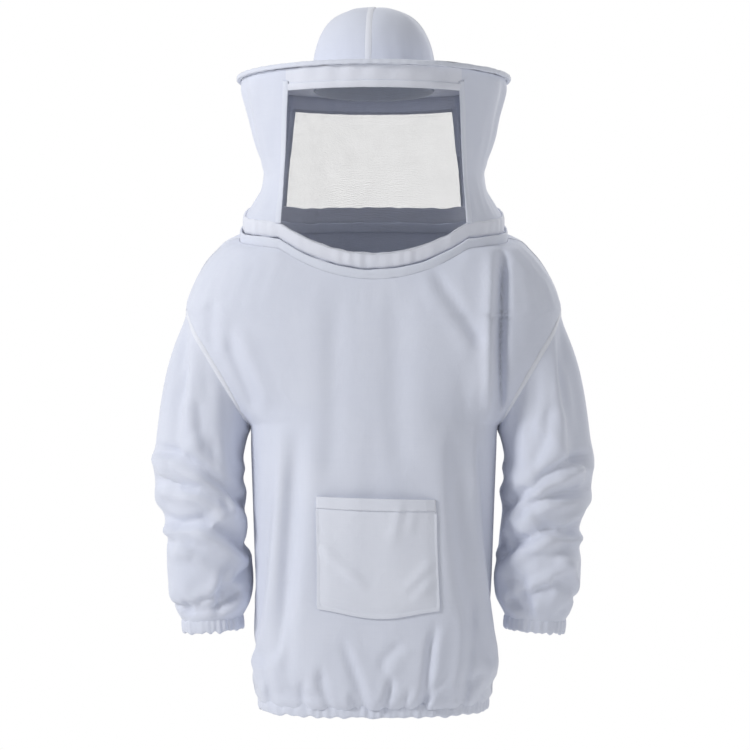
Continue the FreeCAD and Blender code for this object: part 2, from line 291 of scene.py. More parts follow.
SMOCK_CLOTH = cloth_finish("smock_cloth", (0.735, 0.765, 0.865), (0.62, 0.66, 0.785))
BAND_CLOTH = cloth_finish("doubled_band_cloth", (0.80, 0.82, 0.90), (0.69, 0.72, 0.82), crease=16.0)
SEAM_CLOTH = cloth_finish("stitched_seam", (0.82, 0.84, 0.91), (0.72, 0.75, 0.84), crease=20.0,
                          stitched=0.008)
VEIL_SEAM = cloth_finish("veil_seam", (0.755, 0.785, 0.875), (0.64, 0.68, 0.795), crease=14.0,
                         stitched=0.010)
POCKET_CLOTH = cloth_finish("pocket_cloth", (0.79, 0.815, 0.90), (0.68, 0.715, 0.82), crease=11.0)
BAND_COTTON = cloth_finish("sweatband_cotton", (0.72, 0.75, 0.82), (0.60, 0.64, 0.73),
                           threads=450.0, slub=0.8)
STIFF_FELT = cloth_finish("stiff_interlining", (0.78, 0.79, 0.80), (0.66, 0.67, 0.69),
                          threads=300.0, slub=0.9)
BRAID = cloth_finish("elastic_braid", (0.80, 0.79, 0.76), (0.62, 0.61, 0.58), threads=380.0,
                     slub=1.0, rough=0.75)

# %% [markdown]
# The veil's window is a fine black net. Each mesh is under two millimetres, so the threads are drawn
# by the material: a grid in the cloth's own UVs drives Alpha, and a slow noise makes some rows of
# holes tighter than others, as knitted net is.

# %% Net material
def net_finish(name, pitch, cover):
    material = bpy.data.materials.new(name)
    material.use_nodes = True
    tree = material.node_tree
    shader = tree.nodes["Principled BSDF"]
    shader.inputs["Base Color"].default_value = (0.012, 0.012, 0.014, 1)
    shader.inputs["Roughness"].default_value = 0.55
    uv = tree.nodes.new("ShaderNodeUVMap")
    uv.uv_map = "cloth"
    parts = tree.nodes.new("ShaderNodeSeparateXYZ")
    tree.links.new(uv.outputs[0], parts.inputs[0])
    uneven = stretched_noise(tree, uv.outputs[0], (30.0, 30.0, 1.0))
    width = math_node(tree, "ADD", math_node(tree, "MULTIPLY", uneven, cover * 0.6), cover * 0.7)
    threads = []
    for axis, seed in ((0, 150.0), (1, 190.0)):
        wander = math_node(tree, "MULTIPLY", stretched_noise(tree, uv.outputs[0], (seed, seed, 1.0)), 2.4)
        place = math_node(tree, "ADD", math_node(tree, "DIVIDE", parts.outputs[axis], pitch), wander)
        turn = math_node(tree, "FRACT", place)
        threads.append(math_node(tree, "LESS_THAN", turn, width))
    tree.links.new(math_node(tree, "MAXIMUM", threads[0], threads[1]), shader.inputs["Alpha"])
    return material


NET = net_finish("black_veil_net", 0.0017, 0.070)


def steel_finish(name):
    material = bpy.data.materials.new(name)
    material.use_nodes = True
    tree = material.node_tree
    shader = tree.nodes["Principled BSDF"]
    shader.inputs["Metallic"].default_value = 1.0
    place = tree.nodes.new("ShaderNodeTexCoord")
    drawn = stretched_noise(tree, place.outputs["Object"], (40.0, 40.0, 900.0), 4.0)
    ramp = tree.nodes.new("ShaderNodeValToRGB")
    ramp.color_ramp.elements[0].color = (0.42, 0.42, 0.43, 1)
    ramp.color_ramp.elements[1].color = (0.62, 0.62, 0.63, 1)
    tree.links.new(drawn, ramp.inputs["Fac"])
    tree.links.new(ramp.outputs["Color"], shader.inputs["Base Color"])
    tree.links.new(math_node(tree, "ADD", math_node(tree, "MULTIPLY", drawn, 0.2), 0.22),
                   shader.inputs["Roughness"])
    return material


WIRE_STEEL = steel_finish("sprung_wire")
print("materials:", len(bpy.data.materials))

# %% [markdown]
# ## The smock's cut
# A pullover smock is two flat panels with a sleeve set into a dropped shoulder. Cloth simulation needs
# an even grid, so the trunk is a stack of closed rows, each a rounded rectangle. Between the armpit and
# the shoulder tip every row opens at its sides, and those open ends are the ring that the sleeve grows
# from. Remeshing a solid would weld the sleeve to the trunk where they touch; a grid keeps them apart.

# %% Smock stations
SQUARENESS = 2.6
AROUND = 112
ARM_ROWS = 26
CELL = 0.0098
ARMPIT = np.array((0.190, 0.0, -0.290))
SHOULDER_TIP = np.array((0.290, 0.0, -0.120))
HEM_TOP = -0.722
TRUNK = [(HEM_TOP, 0.1785, 0.1285), (-0.713, 0.1835, 0.1335), (-0.688, 0.190, 0.140),
         (-0.66, 0.1945, 0.146), (-0.56, 0.1935, 0.146), (-0.45, 0.192, 0.145),
         (-0.36, 0.191, 0.143), (-0.290, 0.190, 0.141)]
SHOULDERS = [(-0.120, 0.293, 0.133, 3), (-0.105, 0.291, 0.133, 4), (-0.088, 0.284, 0.133, 6),
             (-0.07, 0.274, 0.132, 8), (-0.052, 0.261, 0.132, 10), (-0.036, 0.244, 0.132, 12),
             (-0.024, 0.226, 0.132, 14), (-0.018, 0.209, 0.132, 15)]
NECK_HEIGHT = -0.018
NECK_TILT = math.radians(15.0)
# distance down the arm is worked out from these centres: (x, z), lean, half width, half depth
ARM = [((0.240, -0.205), 59.5, 0.0985, 0.080), ((0.2545, -0.238), 40, 0.088, 0.081),
       ((0.263, -0.280), 18, 0.0775, 0.079), ((0.267, -0.325), 5, 0.0755, 0.078),
       ((0.2685, -0.365), -1, 0.077, 0.078), ((0.262, -0.400), -4.6, 0.071, 0.074),
       ((0.258, -0.440), -4.6, 0.067, 0.071), ((0.257, -0.480), -4.6, 0.069, 0.071),
       ((0.2545, -0.540), -4.6, 0.069, 0.070), ((0.2525, -0.575), -4.6, 0.062, 0.063),
       ((0.2515, -0.590), -4.6, 0.052, 0.053), ((0.251, -0.5985), -4.6, 0.0465, 0.0465)]


def scoop(x, y):
    """How much the neck edge dips at the centre front and rises at its sides."""
    front = smoothstep(-np.asarray(y, float), 0.02, 0.10)
    dip = np.minimum(-0.022 + 0.042 * (np.asarray(x, float) / 0.143) ** 2, 0.020)
    sides = 0.014 * smoothstep(np.abs(x), 0.10, 0.19)
    return front * dip + (1 - front) * sides


def rounded(half_width, half_depth, turn, power=SQUARENESS):
    c, s = np.cos(turn), np.sin(turn)
    return np.stack([half_width * np.sign(c) * np.abs(c) ** (2 / power),
                     half_depth * np.sign(s) * np.abs(s) ** (2 / power)], -1)


def evenly(points, count, shares=None):
    """The same path with its points spaced evenly, or at the given shares of its length."""
    run = np.r_[0, np.cumsum(np.linalg.norm(np.diff(points, axis=0), axis=1))]
    shares = np.linspace(0, 1, count) if shares is None else shares
    return np.stack([np.interp(shares * run[-1], run, points[:, k]) for k in range(3)], -1)


def half_row(half_width, half_depth, height, tilt, side, start=0.0):
    """Row from the left side to the right side, across the front (-1) or the back (1)."""
    flat = rounded(half_width, half_depth, np.linspace(start, math.pi - start, 400))
    y = flat[:, 1] * side
    lean = math.radians(tilt)
    row = np.stack([flat[:, 0], y * math.cos(lean), height + y * math.sin(lean)], -1)
    row[:, 2] += scoop(row[:, 0], row[:, 1]) * smoothstep(height, -0.16, NECK_HEIGHT)
    return evenly(row, AROUND // 2 + 1)


def armhole_share(step):
    return 0.62 * step + 0.38 * (1 - math.cos(math.pi * step)) / 2


# %% [markdown]
# The rows are joined into one mesh. Each face is tagged with the piece it will be cut into after the
# simulation, because the real cloth pulls across its seams too.

# %% Smock mesh
ZONES = ("front_panel", "back_panel", "left_sleeve_upper", "left_sleeve_lower",
         "right_sleeve_upper", "right_sleeve_lower")
ELBOW_LEVEL = -0.365


class Cut:
    """Points and tagged faces of the smock while it is being laid out."""

    def __init__(self):
        self.points, self.faces, self.uvs, self.zones = [], [], [], []

    def row(self, points):
        first = len(self.points)
        self.points += [tuple(p) for p in points]
        return list(range(first, first + len(points)))

    def face(self, corners, zone, u, v, flip):
        uv = [(u, v), (u + CELL, v), (u + CELL, v + CELL), (u, v + CELL)]
        self.faces.append(corners[::-1] if flip else corners)
        self.uvs.append(uv[::-1] if flip else uv)
        self.zones.append(zone)


def body_rows(cut, trunk_in, yoke_in):
    """Rows of the trunk and shoulders, and the loop of each armhole."""
    rows = []

    def closed(width, depth, height, tilt):
        front = cut.row(half_row(width, depth, height, tilt, -1))
        middle = cut.row(half_row(width, depth, height, tilt, 1)[1:-1])
        return front, [front[0]] + middle + [front[-1]]

    steps = int(round((ARMPIT[2] - HEM_TOP) / CELL))
    for z in np.linspace(HEM_TOP, ARMPIT[2], steps + 1):
        rows.append(closed(along_table(TRUNK, z, 1) - trunk_in,
                           along_table(TRUNK, z, 2) - trunk_in, z, 0))
    loops = {1: [rows[-1][0][0]], -1: [rows[-1][0][-1]]}
    behind = {1: [], -1: []}
    for j in range(1, ARM_ROWS):
        share = armhole_share(j / ARM_ROWS)
        spot = ARMPIT + (SHOULDER_TIP - ARMPIT) * share
        edge = spot[0] - yoke_in
        depth = np.interp(spot[2], [-0.290, -0.120], [0.141, 0.133]) - yoke_in
        open_by = (0.080 - yoke_in * 0.5) * 2 * math.sqrt(share * (1 - share))
        width = edge / (1 - (open_by / depth) ** SQUARENESS) ** (1 / SQUARENESS)
        start = math.asin(min(1.0, (open_by / depth) ** (SQUARENESS / 2)))
        tilt = 3 * j / ARM_ROWS
        front = cut.row(half_row(width, depth, spot[2], tilt, -1, start))
        back = cut.row(half_row(width, depth, spot[2], tilt, 1, start))
        rows.append((front, back))
        for side, end in ((1, 0), (-1, -1)):
            loops[side].append(front[end])
            behind[side].append(back[end])
    for i, z in enumerate(np.linspace(-0.120, NECK_HEIGHT, 13)):
        rows.append(closed(along_table(SHOULDERS, z, 1) - yoke_in,
                           along_table(SHOULDERS, z, 2) - yoke_in, z, along_table(SHOULDERS, z, 3)))
        if i == 0:
            loops[1].append(rows[-1][0][0])
            loops[-1].append(rows[-1][0][-1])
    return rows, {side: loops[side] + behind[side][::-1] for side in loops}


# %% [markdown]
# Each sleeve starts from the loop of grid points round its armhole, so no gap can open there. Its rings
# then follow the arm down to the wrist. A separate tube would be simpler, and would need welding.

# %% Sleeve rings and layout
def arm_rings(cut, loop, side, inset):
    """Rings of one sleeve, from the armhole's loop to the cuff."""
    run = np.r_[0, np.cumsum([math.dist(a[0], b[0]) for a, b in zip(ARM, ARM[1:])])]
    count = int(round(run[-1] / CELL))
    at = np.linspace(0, run[-1], count + 1)
    columns = [np.interp(at, run, values) for values in (
        [a[0][0] for a in ARM], [a[0][1] for a in ARM], [math.radians(a[1]) for a in ARM],
        [a[2] for a in ARM], [a[3] for a in ARM])]
    for _ in range(3):
        for values in columns:
            values[1:-1] = (values[:-2] + 2 * values[1:-1] + values[2:]) / 4
    steps = [armhole_share(s / ARM_ROWS) for s in range(ARM_ROWS + 1)]
    turns = [math.acos(1 - 2 * s) for s in steps]
    turns += [-t for t in turns[-2:0:-1]]
    rings = [loop]
    for x, z, lean, width, depth in list(zip(*columns))[1:]:
        ring = []
        for turn in turns:
            reach = -math.cos(turn) * (width - inset)
            ring.append((side * (x + reach * math.cos(lean)), -math.sin(turn) * (depth - inset),
                         z + reach * math.sin(lean)))
        rings.append(cut.row(ring))
    return rings


def lay_out(trunk_in=0.0, yoke_in=0.0, arm_in=0.0):
    """The whole smock as one tagged grid, smaller inside by the given insets."""
    cut = Cut()
    rows, loops = body_rows(cut, trunk_in, yoke_in)
    for i, ((f0, b0), (f1, b1)) in enumerate(zip(rows, rows[1:])):
        for j in range(AROUND // 2):
            u, v = j * CELL, i * CELL
            cut.face((f0[j + 1], f0[j], f1[j], f1[j + 1]), 0, u, v, False)
            cut.face((b0[j], b0[j + 1], b1[j + 1], b1[j]), 1, u, v, False)
    arms = {}
    for side in (1, -1):
        rings = arm_rings(cut, loops[side], side, arm_in)
        for i, (near, far) in enumerate(zip(rings, rings[1:])):
            middle = np.mean([cut.points[k][2] for k in far])
            zone = (2 if side > 0 else 4) + (1 if middle < ELBOW_LEVEL else 0)
            for j in range(len(near)):
                k = (j + 1) % len(near)
                cut.face((near[j], near[k], far[k], far[j]), zone, j * CELL, i * CELL, side > 0)
        arms[side] = rings
    return cut, rows, arms


SMOCK, SMOCK_ROWS, ARM_RINGS = lay_out()
print("smock grid:", len(SMOCK.points), "points,", len(SMOCK.faces), "faces")

# %% [markdown]
# ## Draping the smock
# Real folds come from cloth that is longer than the space it hangs in. The sleeve is longer than the
# arm and the hem is wider than its elastic, so the simulation lets that cloth grow while its edges are
# held. A few slanted ridges start each sleeve's folds where an elbow makes them; the solver decides
# their final shape. A hidden form stands for the wearer, and is removed afterwards.

# %% Seeds of the folds
# each ridge: distance down the sleeve, slope, width, height, place round the sleeve
RIDGES = [(0.10, 0.5, 0.012, 0.012, 1.6), (0.145, 0.75, 0.011, 0.013, 2.2),
          (0.19, 0.35, 0.012, 0.014, 1.3), (0.225, -0.5, 0.011, 0.013, 2.6),
          (0.26, 0.6, 0.012, 0.012, 1.2), (0.30, 0.8, 0.011, 0.014, 2.3),
          (0.335, -0.45, 0.011, 0.012, 1.4), (0.37, 0.5, 0.012, 0.010, 2.7),
          (0.12, -0.6, 0.012, 0.012, 4.6), (0.18, 0.5, 0.012, 0.013, 4.1),
          (0.24, -0.5, 0.012, 0.013, 5.0), (0.29, 0.6, 0.012, 0.012, 4.4),
          (0.345, -0.4, 0.011, 0.011, 4.8)]
RANDOM = np.random.default_rng(7)


def point_normals(points, faces):
    normals = np.zeros_like(points)
    quads = np.array(faces)
    cross = np.cross(points[quads[:, 2]] - points[quads[:, 0]],
                     points[quads[:, 3]] - points[quads[:, 1]])
    for corner in range(4):
        np.add.at(normals, quads[:, corner], cross)
    return normals / (np.linalg.norm(normals, axis=1)[:, None] + 1e-9)


def fold_seeds(points):
    """How far each point starts off the smooth shape, along its normal."""
    lift = np.zeros(len(points))
    x, y, z = points.T
    turn = np.arctan2(y, x)
    trunk = (np.abs(x) < 0.20) & (z > HEM_TOP + 0.006)
    for k in range(7, 31, 2):
        wave = RANDOM.uniform(0.3, 1) * np.sin(k * turn + RANDOM.uniform(0, 2 * math.pi))
        reach = RANDOM.uniform(0.09, 0.26)
        lift += 0.0011 * wave * np.clip(1 - (z - HEM_TOP) / reach, 0, 1) ** 1.5 * trunk
    for side in (1, -1):
        rings = ARM_RINGS[side]
        for i, ring in enumerate(rings[4:-4], 4):
            round_it = np.linspace(0, 2 * math.pi, len(ring), endpoint=False) * side
            fade = min(1, (i - 4) / 10) * min(1, (len(rings) - 4 - i) / 8)
            for start, slope, wide, high, place in RIDGES:
                off = (round_it - place + math.pi) % (2 * math.pi) - math.pi
                gap = (i * CELL - start - slope * off * 0.075) / wide
                lift[ring] += fade * high * np.exp(-gap * gap) * np.exp(-(off / 1.15) ** 2)
    return lift


# %% [markdown]
# The solver itself is the same for the smock and for the veil, so it is one helper. It could be run by
# pressing play, but stepping through the frames in the script gives the same folds each time. One weight
# group says what is held, and another says how much each part of the cloth grows.

# %% Cloth simulation
def drape(piece, held, grown, frames, stiffness, growth, pressure=0.0):
    """Runs a cloth simulation and returns the points' final places."""
    for name, values in (("held", held), ("grown", grown)):
        group = piece.vertex_groups.new(name=name)
        for i, value in enumerate(values):
            group.add([i], float(value), "REPLACE")
    cloth = piece.modifiers.new("Cloth", "CLOTH")
    s = cloth.settings
    s.quality = 5
    s.mass = 0.12
    s.air_damping = 2
    s.tension_stiffness = stiffness
    s.compression_stiffness = stiffness / 2
    s.shear_stiffness = stiffness / 4
    s.bending_stiffness = 0.8
    s.vertex_group_mass = "held"
    s.vertex_group_shrink = "grown"
    s.shrink_min = 0.0
    s.shrink_max = -growth
    s.use_pressure = pressure > 0
    s.uniform_pressure_force = pressure
    cloth.collision_settings.distance_min = 0.003
    cloth.point_cache.frame_start = 1
    cloth.point_cache.frame_end = frames + 2
    SCENE.frame_start, SCENE.frame_end = 1, frames + 2
    for step in range(1, frames + 1):
        SCENE.frame_set(step)
    result = piece.evaluated_get(bpy.context.evaluated_depsgraph_get()).to_mesh()
    places = np.array([v.co for v in result.vertices])
    piece.modifiers.clear()
    return places


def drape_smock():
    points = np.array(SMOCK.points)
    points = points + point_normals(points, SMOCK.faces) * fold_seeds(points)[:, None]
    form = lay_out(0.022, 0.008, 0.022)[0]
    wearer = new_mesh("wearer_form", form.points, form.faces)
    wearer.modifiers.new("Collision", "COLLISION")
    wearer.collision.thickness_outer = 0.003
    cloth = new_mesh("smock_draping", points, SMOCK.faces)
    x, z = points[:, 0], points[:, 2]
    held = np.maximum(0.004, 0.12 * np.clip((z + 0.30) / 0.25, 0, 1) * (np.abs(x) < 0.25))
    grown = np.maximum(0.02, np.clip(1 - (z - HEM_TOP) / 0.16, 0, 1) * (np.abs(x) < 0.20))
    for row in SMOCK_ROWS[:1] + SMOCK_ROWS[-1:]:
        held[row[0]] = held[row[1]] = 1
    for rings in ARM_RINGS.values():
        last = len(rings) - 1
        for i, ring in enumerate(rings[1:], 1):
            grown[ring] = np.clip((i - 6) / 14, 0, 0.75) + 0.25 * np.clip((i - last + 9) / 8, 0, 1)
        held[rings[-1]] = 1
    places = drape(cloth, held, grown, 34, 25.0, 0.20, pressure=0.6)
    for piece in (wearer, cloth):
        bpy.data.objects.remove(piece)
    return places


DRAPED = drape_smock()
print("smock draped, box", DRAPED.min(0).round(3), DRAPED.max(0).round(3))

# %% [markdown]
# The draped grid is refined once, so that the folds are round, and then cut into its pieces. Each piece
# keeps the normals of the whole, so a cut that is no real seam can't be seen.

# %% Refine and cut
def refine(points, faces, uvs, tags, levels=1):
    """Subdivides a tagged grid and returns its new points, faces, UVs, tags and normals."""
    whole = new_mesh("whole", points, faces, [c for f in uvs for c in f])
    layer = whole.data.attributes.new("tag", "INT", "FACE")
    layer.data.foreach_set("value", np.array(tags, np.int32))
    if levels:
        modifier = whole.modifiers.new("Refine", "SUBSURF")
        modifier.levels = levels
    mesh = whole.evaluated_get(bpy.context.evaluated_depsgraph_get()).to_mesh()
    new_points = np.array([v.co for v in mesh.vertices])
    new_faces = np.array([p.vertices[:] for p in mesh.polygons])
    new_uvs = np.zeros(len(mesh.loops) * 2, np.float32)
    mesh.uv_layers[0].data.foreach_get("uv", new_uvs)
    new_tags = np.zeros(len(mesh.polygons), np.int32)
    mesh.attributes["tag"].data.foreach_get("value", new_tags)
    bpy.data.objects.remove(whole)
    normals = point_normals(new_points, new_faces)
    return new_points, new_faces, new_uvs.reshape(-1, 4, 2), new_tags, normals


def cut_out(name, whole, tag, material):
    """One piece of a refined, tagged mesh, with the whole's normals."""
    points, faces, uvs, tags, normals = whole
    chosen = faces[tags == tag]
    used, corners = np.unique(chosen, return_inverse=True)
    return new_mesh(name, points[used], corners.reshape(-1, 4), uvs[tags == tag].reshape(-1, 2),
                    material, normals[used])


SMOOTH_SMOCK = refine(DRAPED, SMOCK.faces, SMOCK.uvs, SMOCK.zones)

# %% [markdown]
# Some long creases come from how the smock was sewn and stored, not from gravity, so they are pressed in
# after the simulation. Each is a valley with a low ridge on one side, on the front or on the back. The
# ones at the foot run into the gathered hem.

# %% Long creases
# each crease: upper (x, z), lower (x, z), half width, depth, ridge height, side of the ridge
FRONT_CREASES = [((0.192, -0.010), (0.196, -0.300), 0.0080, 0.0240, 0.0085, 1),
                 ((0.090, -0.052), (0.163, -0.180), 0.0095, 0.0062, 0.0022, 1),
                 ((-0.243, -0.100), (-0.249, -0.180), 0.0090, 0.0050, 0.0025, -1),
                 ((-0.222, -0.145), (-0.182, -0.275), 0.0100, 0.0075, 0.0035, -1),
                 ((-0.122, -0.290), (-0.129, -0.690), 0.0120, 0.0062, 0.0030, 1),
                 ((-0.052, -0.080), (-0.070, -0.380), 0.0160, 0.0028, 0.0012, 1),
                 ((0.030, -0.080), (0.040, -0.370), 0.0200, 0.0034, 0.0020, -1),
                 ((0.134, -0.190), (0.140, -0.420), 0.0150, 0.0030, 0.0015, -1),
                 ((0.150, -0.545), (0.137, -0.740), 0.0070, 0.0075, 0.0030, 1),
                 ((0.096, -0.588), (0.066, -0.745), 0.0060, 0.0075, 0.0030, -1),
                 ((0.024, -0.668), (0.016, -0.750), 0.0055, 0.0065, 0.0025, 1),
                 ((0.040, -0.615), (0.010, -0.660), 0.0080, 0.0040, 0.0015, -1),
                 ((0.115, -0.668), (0.040, -0.740), 0.0070, 0.0040, 0.0018, -1),
                 ((-0.080, -0.650), (-0.062, -0.745), 0.0065, 0.0050, 0.0022, 1),
                 ((-0.044, -0.610), (-0.010, -0.745), 0.0070, 0.0050, 0.0022, -1),
                 ((-0.110, -0.672), (-0.098, -0.745), 0.0055, 0.0050, 0.0020, -1),
                 ((-0.172, -0.632), (-0.152, -0.745), 0.0070, 0.0070, 0.0030, 1),
                 ((0.178, -0.672), (0.152, -0.745), 0.0060, 0.0065, 0.0025, 1),
                 ((-0.030, -0.690), (-0.034, -0.750), 0.0050, 0.0040, 0.0018, 1),
                 ((0.052, -0.685), (0.044, -0.750), 0.0050, 0.0040, 0.0018, -1)]
BACK_CREASES = [((-0.150, -0.560), (-0.140, -0.745), 0.0075, 0.0070, 0.0030, 1),
                ((-0.085, -0.600), (-0.070, -0.745), 0.0065, 0.0060, 0.0025, -1),
                ((-0.020, -0.640), (-0.016, -0.745), 0.0060, 0.0050, 0.0022, 1),
                ((0.045, -0.610), (0.036, -0.745), 0.0065, 0.0060, 0.0025, -1),
                ((0.105, -0.650), (0.092, -0.745), 0.0060, 0.0055, 0.0022, 1),
                ((0.165, -0.570), (0.146, -0.745), 0.0075, 0.0070, 0.0030, -1),
                ((0.060, -0.120), (0.085, -0.520), 0.0180, 0.0040, 0.0018, 1),
                ((-0.070, -0.100), (-0.110, -0.540), 0.0180, 0.0042, 0.0018, -1)]


def crease_shift(x, z, creases):
    """How far each place is pushed in, towards the inside of the smock."""
    shift = np.zeros(len(x))
    for (x0, z0), (x1, z1), wide, deep, ridge, side in creases:
        length = math.dist((x0, z0), (x1, z1))
        along = ((x - x0) * (x1 - x0) + (z - z0) * (z1 - z0)) / length ** 2
        across = ((x - x0) * (z1 - z0) - (z - z0) * (x1 - x0)) / length
        across = across + 0.003 * np.sin(5 * along + 40 * x0)
        fade = smoothstep(along, -0.05, 0.25) * smoothstep(1 - along, -0.05, 0.15)
        valley = deep * np.exp(-(across / wide) ** 2)
        beside = ridge * np.exp(-((across - side * 2.1 * wide) / (1.4 * wide)) ** 2)
        shift += fade * (valley - beside)
    return shift


print("long creases:", len(FRONT_CREASES), "in front and", len(BACK_CREASES), "behind")

# %% [markdown]
# A sleeve that is pushed up the forearm folds in swoops that run from the outside down to the inside.
# They could be sculpted, or come from a much finer simulation. Here each is a bent path with a valley
# and a ridge, which is easy to read and to change. Both sleeves use the same paths.

# %% Sleeve creases
# each sleeve crease: its path down the front of the wearer's right sleeve, half width, depth, ridge
LEFT_SLEEVE_DROP = 0.012      # the other sleeve has the same creases, this much lower
SLEEVE_CREASES = [([(-0.345, -0.330), (-0.305, -0.336), (-0.258, -0.361), (-0.214, -0.397),
                    (-0.178, -0.446)], 0.0085, 0.0105, 0.0085),
                  ([(-0.342, -0.379), (-0.299, -0.386), (-0.262, -0.390), (-0.230, -0.407),
                    (-0.212, -0.432)], 0.0080, 0.0110, 0.0060),
                  ([(-0.330, -0.436), (-0.300, -0.446), (-0.262, -0.440), (-0.218, -0.464),
                    (-0.176, -0.508)], 0.0085, 0.0105, 0.0085),
                  ([(-0.325, -0.478), (-0.300, -0.470), (-0.272, -0.476)], 0.0090, 0.0060, 0.0040),
                  ([(-0.270, -0.250), (-0.262, -0.300), (-0.240, -0.345)], 0.0100, 0.0050, 0.0030),
                  ([(-0.300, -0.565), (-0.278, -0.586), (-0.240, -0.575), (-0.200, -0.548)],
                   0.0075, 0.0080, 0.0055),
                  ([(-0.226, -0.520), (-0.236, -0.560), (-0.240, -0.590)], 0.0065, 0.0050, 0.0030)]


def along_path(x, z, path):
    """For each place: its signed distance from a bent path, and its share of the way along it."""
    best, signed, share = np.full(len(x), 1e9), np.zeros(len(x)), np.zeros(len(x))
    for i, ((x0, z0), (x1, z1)) in enumerate(zip(path, path[1:])):
        length = math.dist((x0, z0), (x1, z1))
        along = np.clip(((x - x0) * (x1 - x0) + (z - z0) * (z1 - z0)) / length ** 2, 0, 1)
        across = ((x - x0) * (z1 - z0) - (z - z0) * (x1 - x0)) / length
        gap = np.hypot(x - x0 - along * (x1 - x0), z - z0 - along * (z1 - z0))
        nearer = gap < best
        best = np.where(nearer, gap, best)
        signed = np.where(nearer, np.sign(across) * gap, signed)
        share = np.where(nearer, (i + along) / (len(path) - 1), share)
    return signed, share


def sleeve_shift(x, z):
    """How far each place of the wearer's right sleeve is pushed in by its creases."""
    shift = np.zeros(len(x))
    for path, wide, deep, ridge in SLEEVE_CREASES:
        signed, share = along_path(x, z, path)
        fade = smoothstep(share, -0.10, 0.18) * smoothstep(1 - share, -0.10, 0.18)
        valley = deep * np.exp(-(signed / wide) ** 2)
        beside = ridge * np.exp(-((signed - 2.0 * wide) / (1.3 * wide)) ** 2)
        shift += fade * (valley - beside)
    return shift


print("sleeve creases:", len(SLEEVE_CREASES), "on each sleeve")

# %% [markdown]
# The sleeve creases are pushed along the cloth's own normals, because a sleeve is round. The trunk is
# nearly flat in front and behind, so there a push straight in is enough. Each fades out towards the sides.

# %% Press the creases in
def press_folds(whole):
    """Presses the sleeve creases and then the trunk's into the refined smock."""
    points, faces, uvs, tags, normals = whole
    points = points.copy()
    x, y, z = points.T
    first_sleeve = ZONES.index("left_sleeve_upper")
    on_arm = np.zeros(len(points), bool)
    on_arm[np.unique(faces[tags >= first_sleeve])] = True
    on_arm[np.unique(faces[tags < first_sleeve])] = False
    faces_front = smoothstep(-y, -0.010, 0.035)
    end = smoothstep(z, -0.598, -0.575)
    right, left = sleeve_shift(x, z), sleeve_shift(-x, z + LEFT_SLEEVE_DROP)
    pushed = np.where(x < 0, right, left) * faces_front * end * on_arm
    points = points - normals * pushed[:, None]
    x, y, z = points.T
    for creases, facing in ((FRONT_CREASES, -1), (BACK_CREASES, 1)):
        flat_side = smoothstep(facing * y, 0.055, 0.095)
        points[:, 1] -= facing * crease_shift(x, z, creases) * flat_side * ~on_arm
    return points, faces, uvs, tags, point_normals(points, faces)


WHOLE_SMOCK = press_folds(SMOOTH_SMOCK)
CLOTH = {name: cut_out(name + "_cloth", WHOLE_SMOCK, tag, SMOCK_CLOTH)
         for tag, name in enumerate(ZONES)}
print("smock pieces:", {name: len(piece.data.polygons) for name, piece in CLOTH.items()})

# %% [markdown]
# The front and back panels move with the smock's body, and the frame's nodes for them are hidden. The
# sleeve pieces keep their draped places, and their frame nodes are hidden too. For each sleeve, a stretch
# between the armhole and the elbow is measured along a slanted line.

def area_of(piece):
    return sum(p.area for p in piece.data.polygons)


for name, flat in (("front_panel", (0.64, 0.76)), ("back_panel", (0.64, 0.78))):
    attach(CLOTH[name], "smock")
    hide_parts(name)

ARM_SLANT = np.array((0.5, 0.0, -0.866))
ARM_BEND_START = 0.347
ARM_BEND_END = 0.411
for side, sign in (("left", 1), ("right", -1)):
    mirror = np.array((sign, 1, 1))
    start, end = ARM_SLANT * ARM_BEND_START * mirror, ARM_SLANT * ARM_BEND_END * mirror
    upper, lower = CLOTH[side + "_sleeve_upper"], CLOTH[side + "_sleeve_lower"]
    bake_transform(upper)
    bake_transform(lower)
    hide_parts(side + "_sleeve_upper")
    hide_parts(side + "_sleeve_lower")
print("areas:", {name: round(area_of(piece), 3) for name, piece in CLOTH.items()})

# %% [markdown]
# ## Bands and casings
# A casing is a folded strip with elastic inside. One helper sweeps a soft outline round a loop. The
# gathers are ripples that come and go, worked out from a few waves with uneven spacing, because evenly
# spaced ripples look like corrugated pipe.

# %% Swept bands
def ripples(count, waves, seed):
    """Uneven gathers round a loop, between about -1 and 1."""
    source = np.random.default_rng(seed)
    turn = np.linspace(0, 2 * math.pi, count, endpoint=False)
    total = np.zeros(count)
    for _ in range(9):
        k = int(source.integers(max(3, int(waves * 0.3)), int(waves * 1.6)))
        total += source.uniform(0.4, 1) * np.sin(k * turn + source.uniform(0, 2 * math.pi))
    return total / 3.4


def swept_band(name, points, out, up, low, high, thick, puff, material, seed=1, waves=40,
               ripple=0.0012, edge=0.0):
    """Closed band round a loop of points, from low to high along up, with gathers."""
    count = len(points)
    gather = ripples(count, waves, seed)
    edges = ripples(count, waves * 0.7, seed + 50)
    steps = 16
    rows = []
    for k in range(steps):
        turn = 2 * math.pi * k / steps
        across = math.copysign(abs(math.cos(turn)) ** 0.7, math.cos(turn))
        along = math.copysign(abs(math.sin(turn)) ** 0.45, math.sin(turn))
        row = []
        for i in range(count):
            bulge = (thick / 2 + (puff if across > 0 else 0)) * across
            bulge += gather[i] * ripple * (0.5 + 0.5 * across) * (1 - 0.3 * abs(along))
            rise = (low + high) / 2 + (high - low) / 2 * along + edges[i] * edge * along
            row.append(points[i] + out[i] * bulge + up[i] * rise)
        rows.append(row)
    rows.append(rows[0])
    grid, faces, uvs = sheet_of_rows(rows, True)
    last = (len(rows) - 1) * count
    faces = [tuple(i - last if i >= last else i for i in f) for f in faces]
    return new_mesh(name, grid[:last], faces, uvs, material)


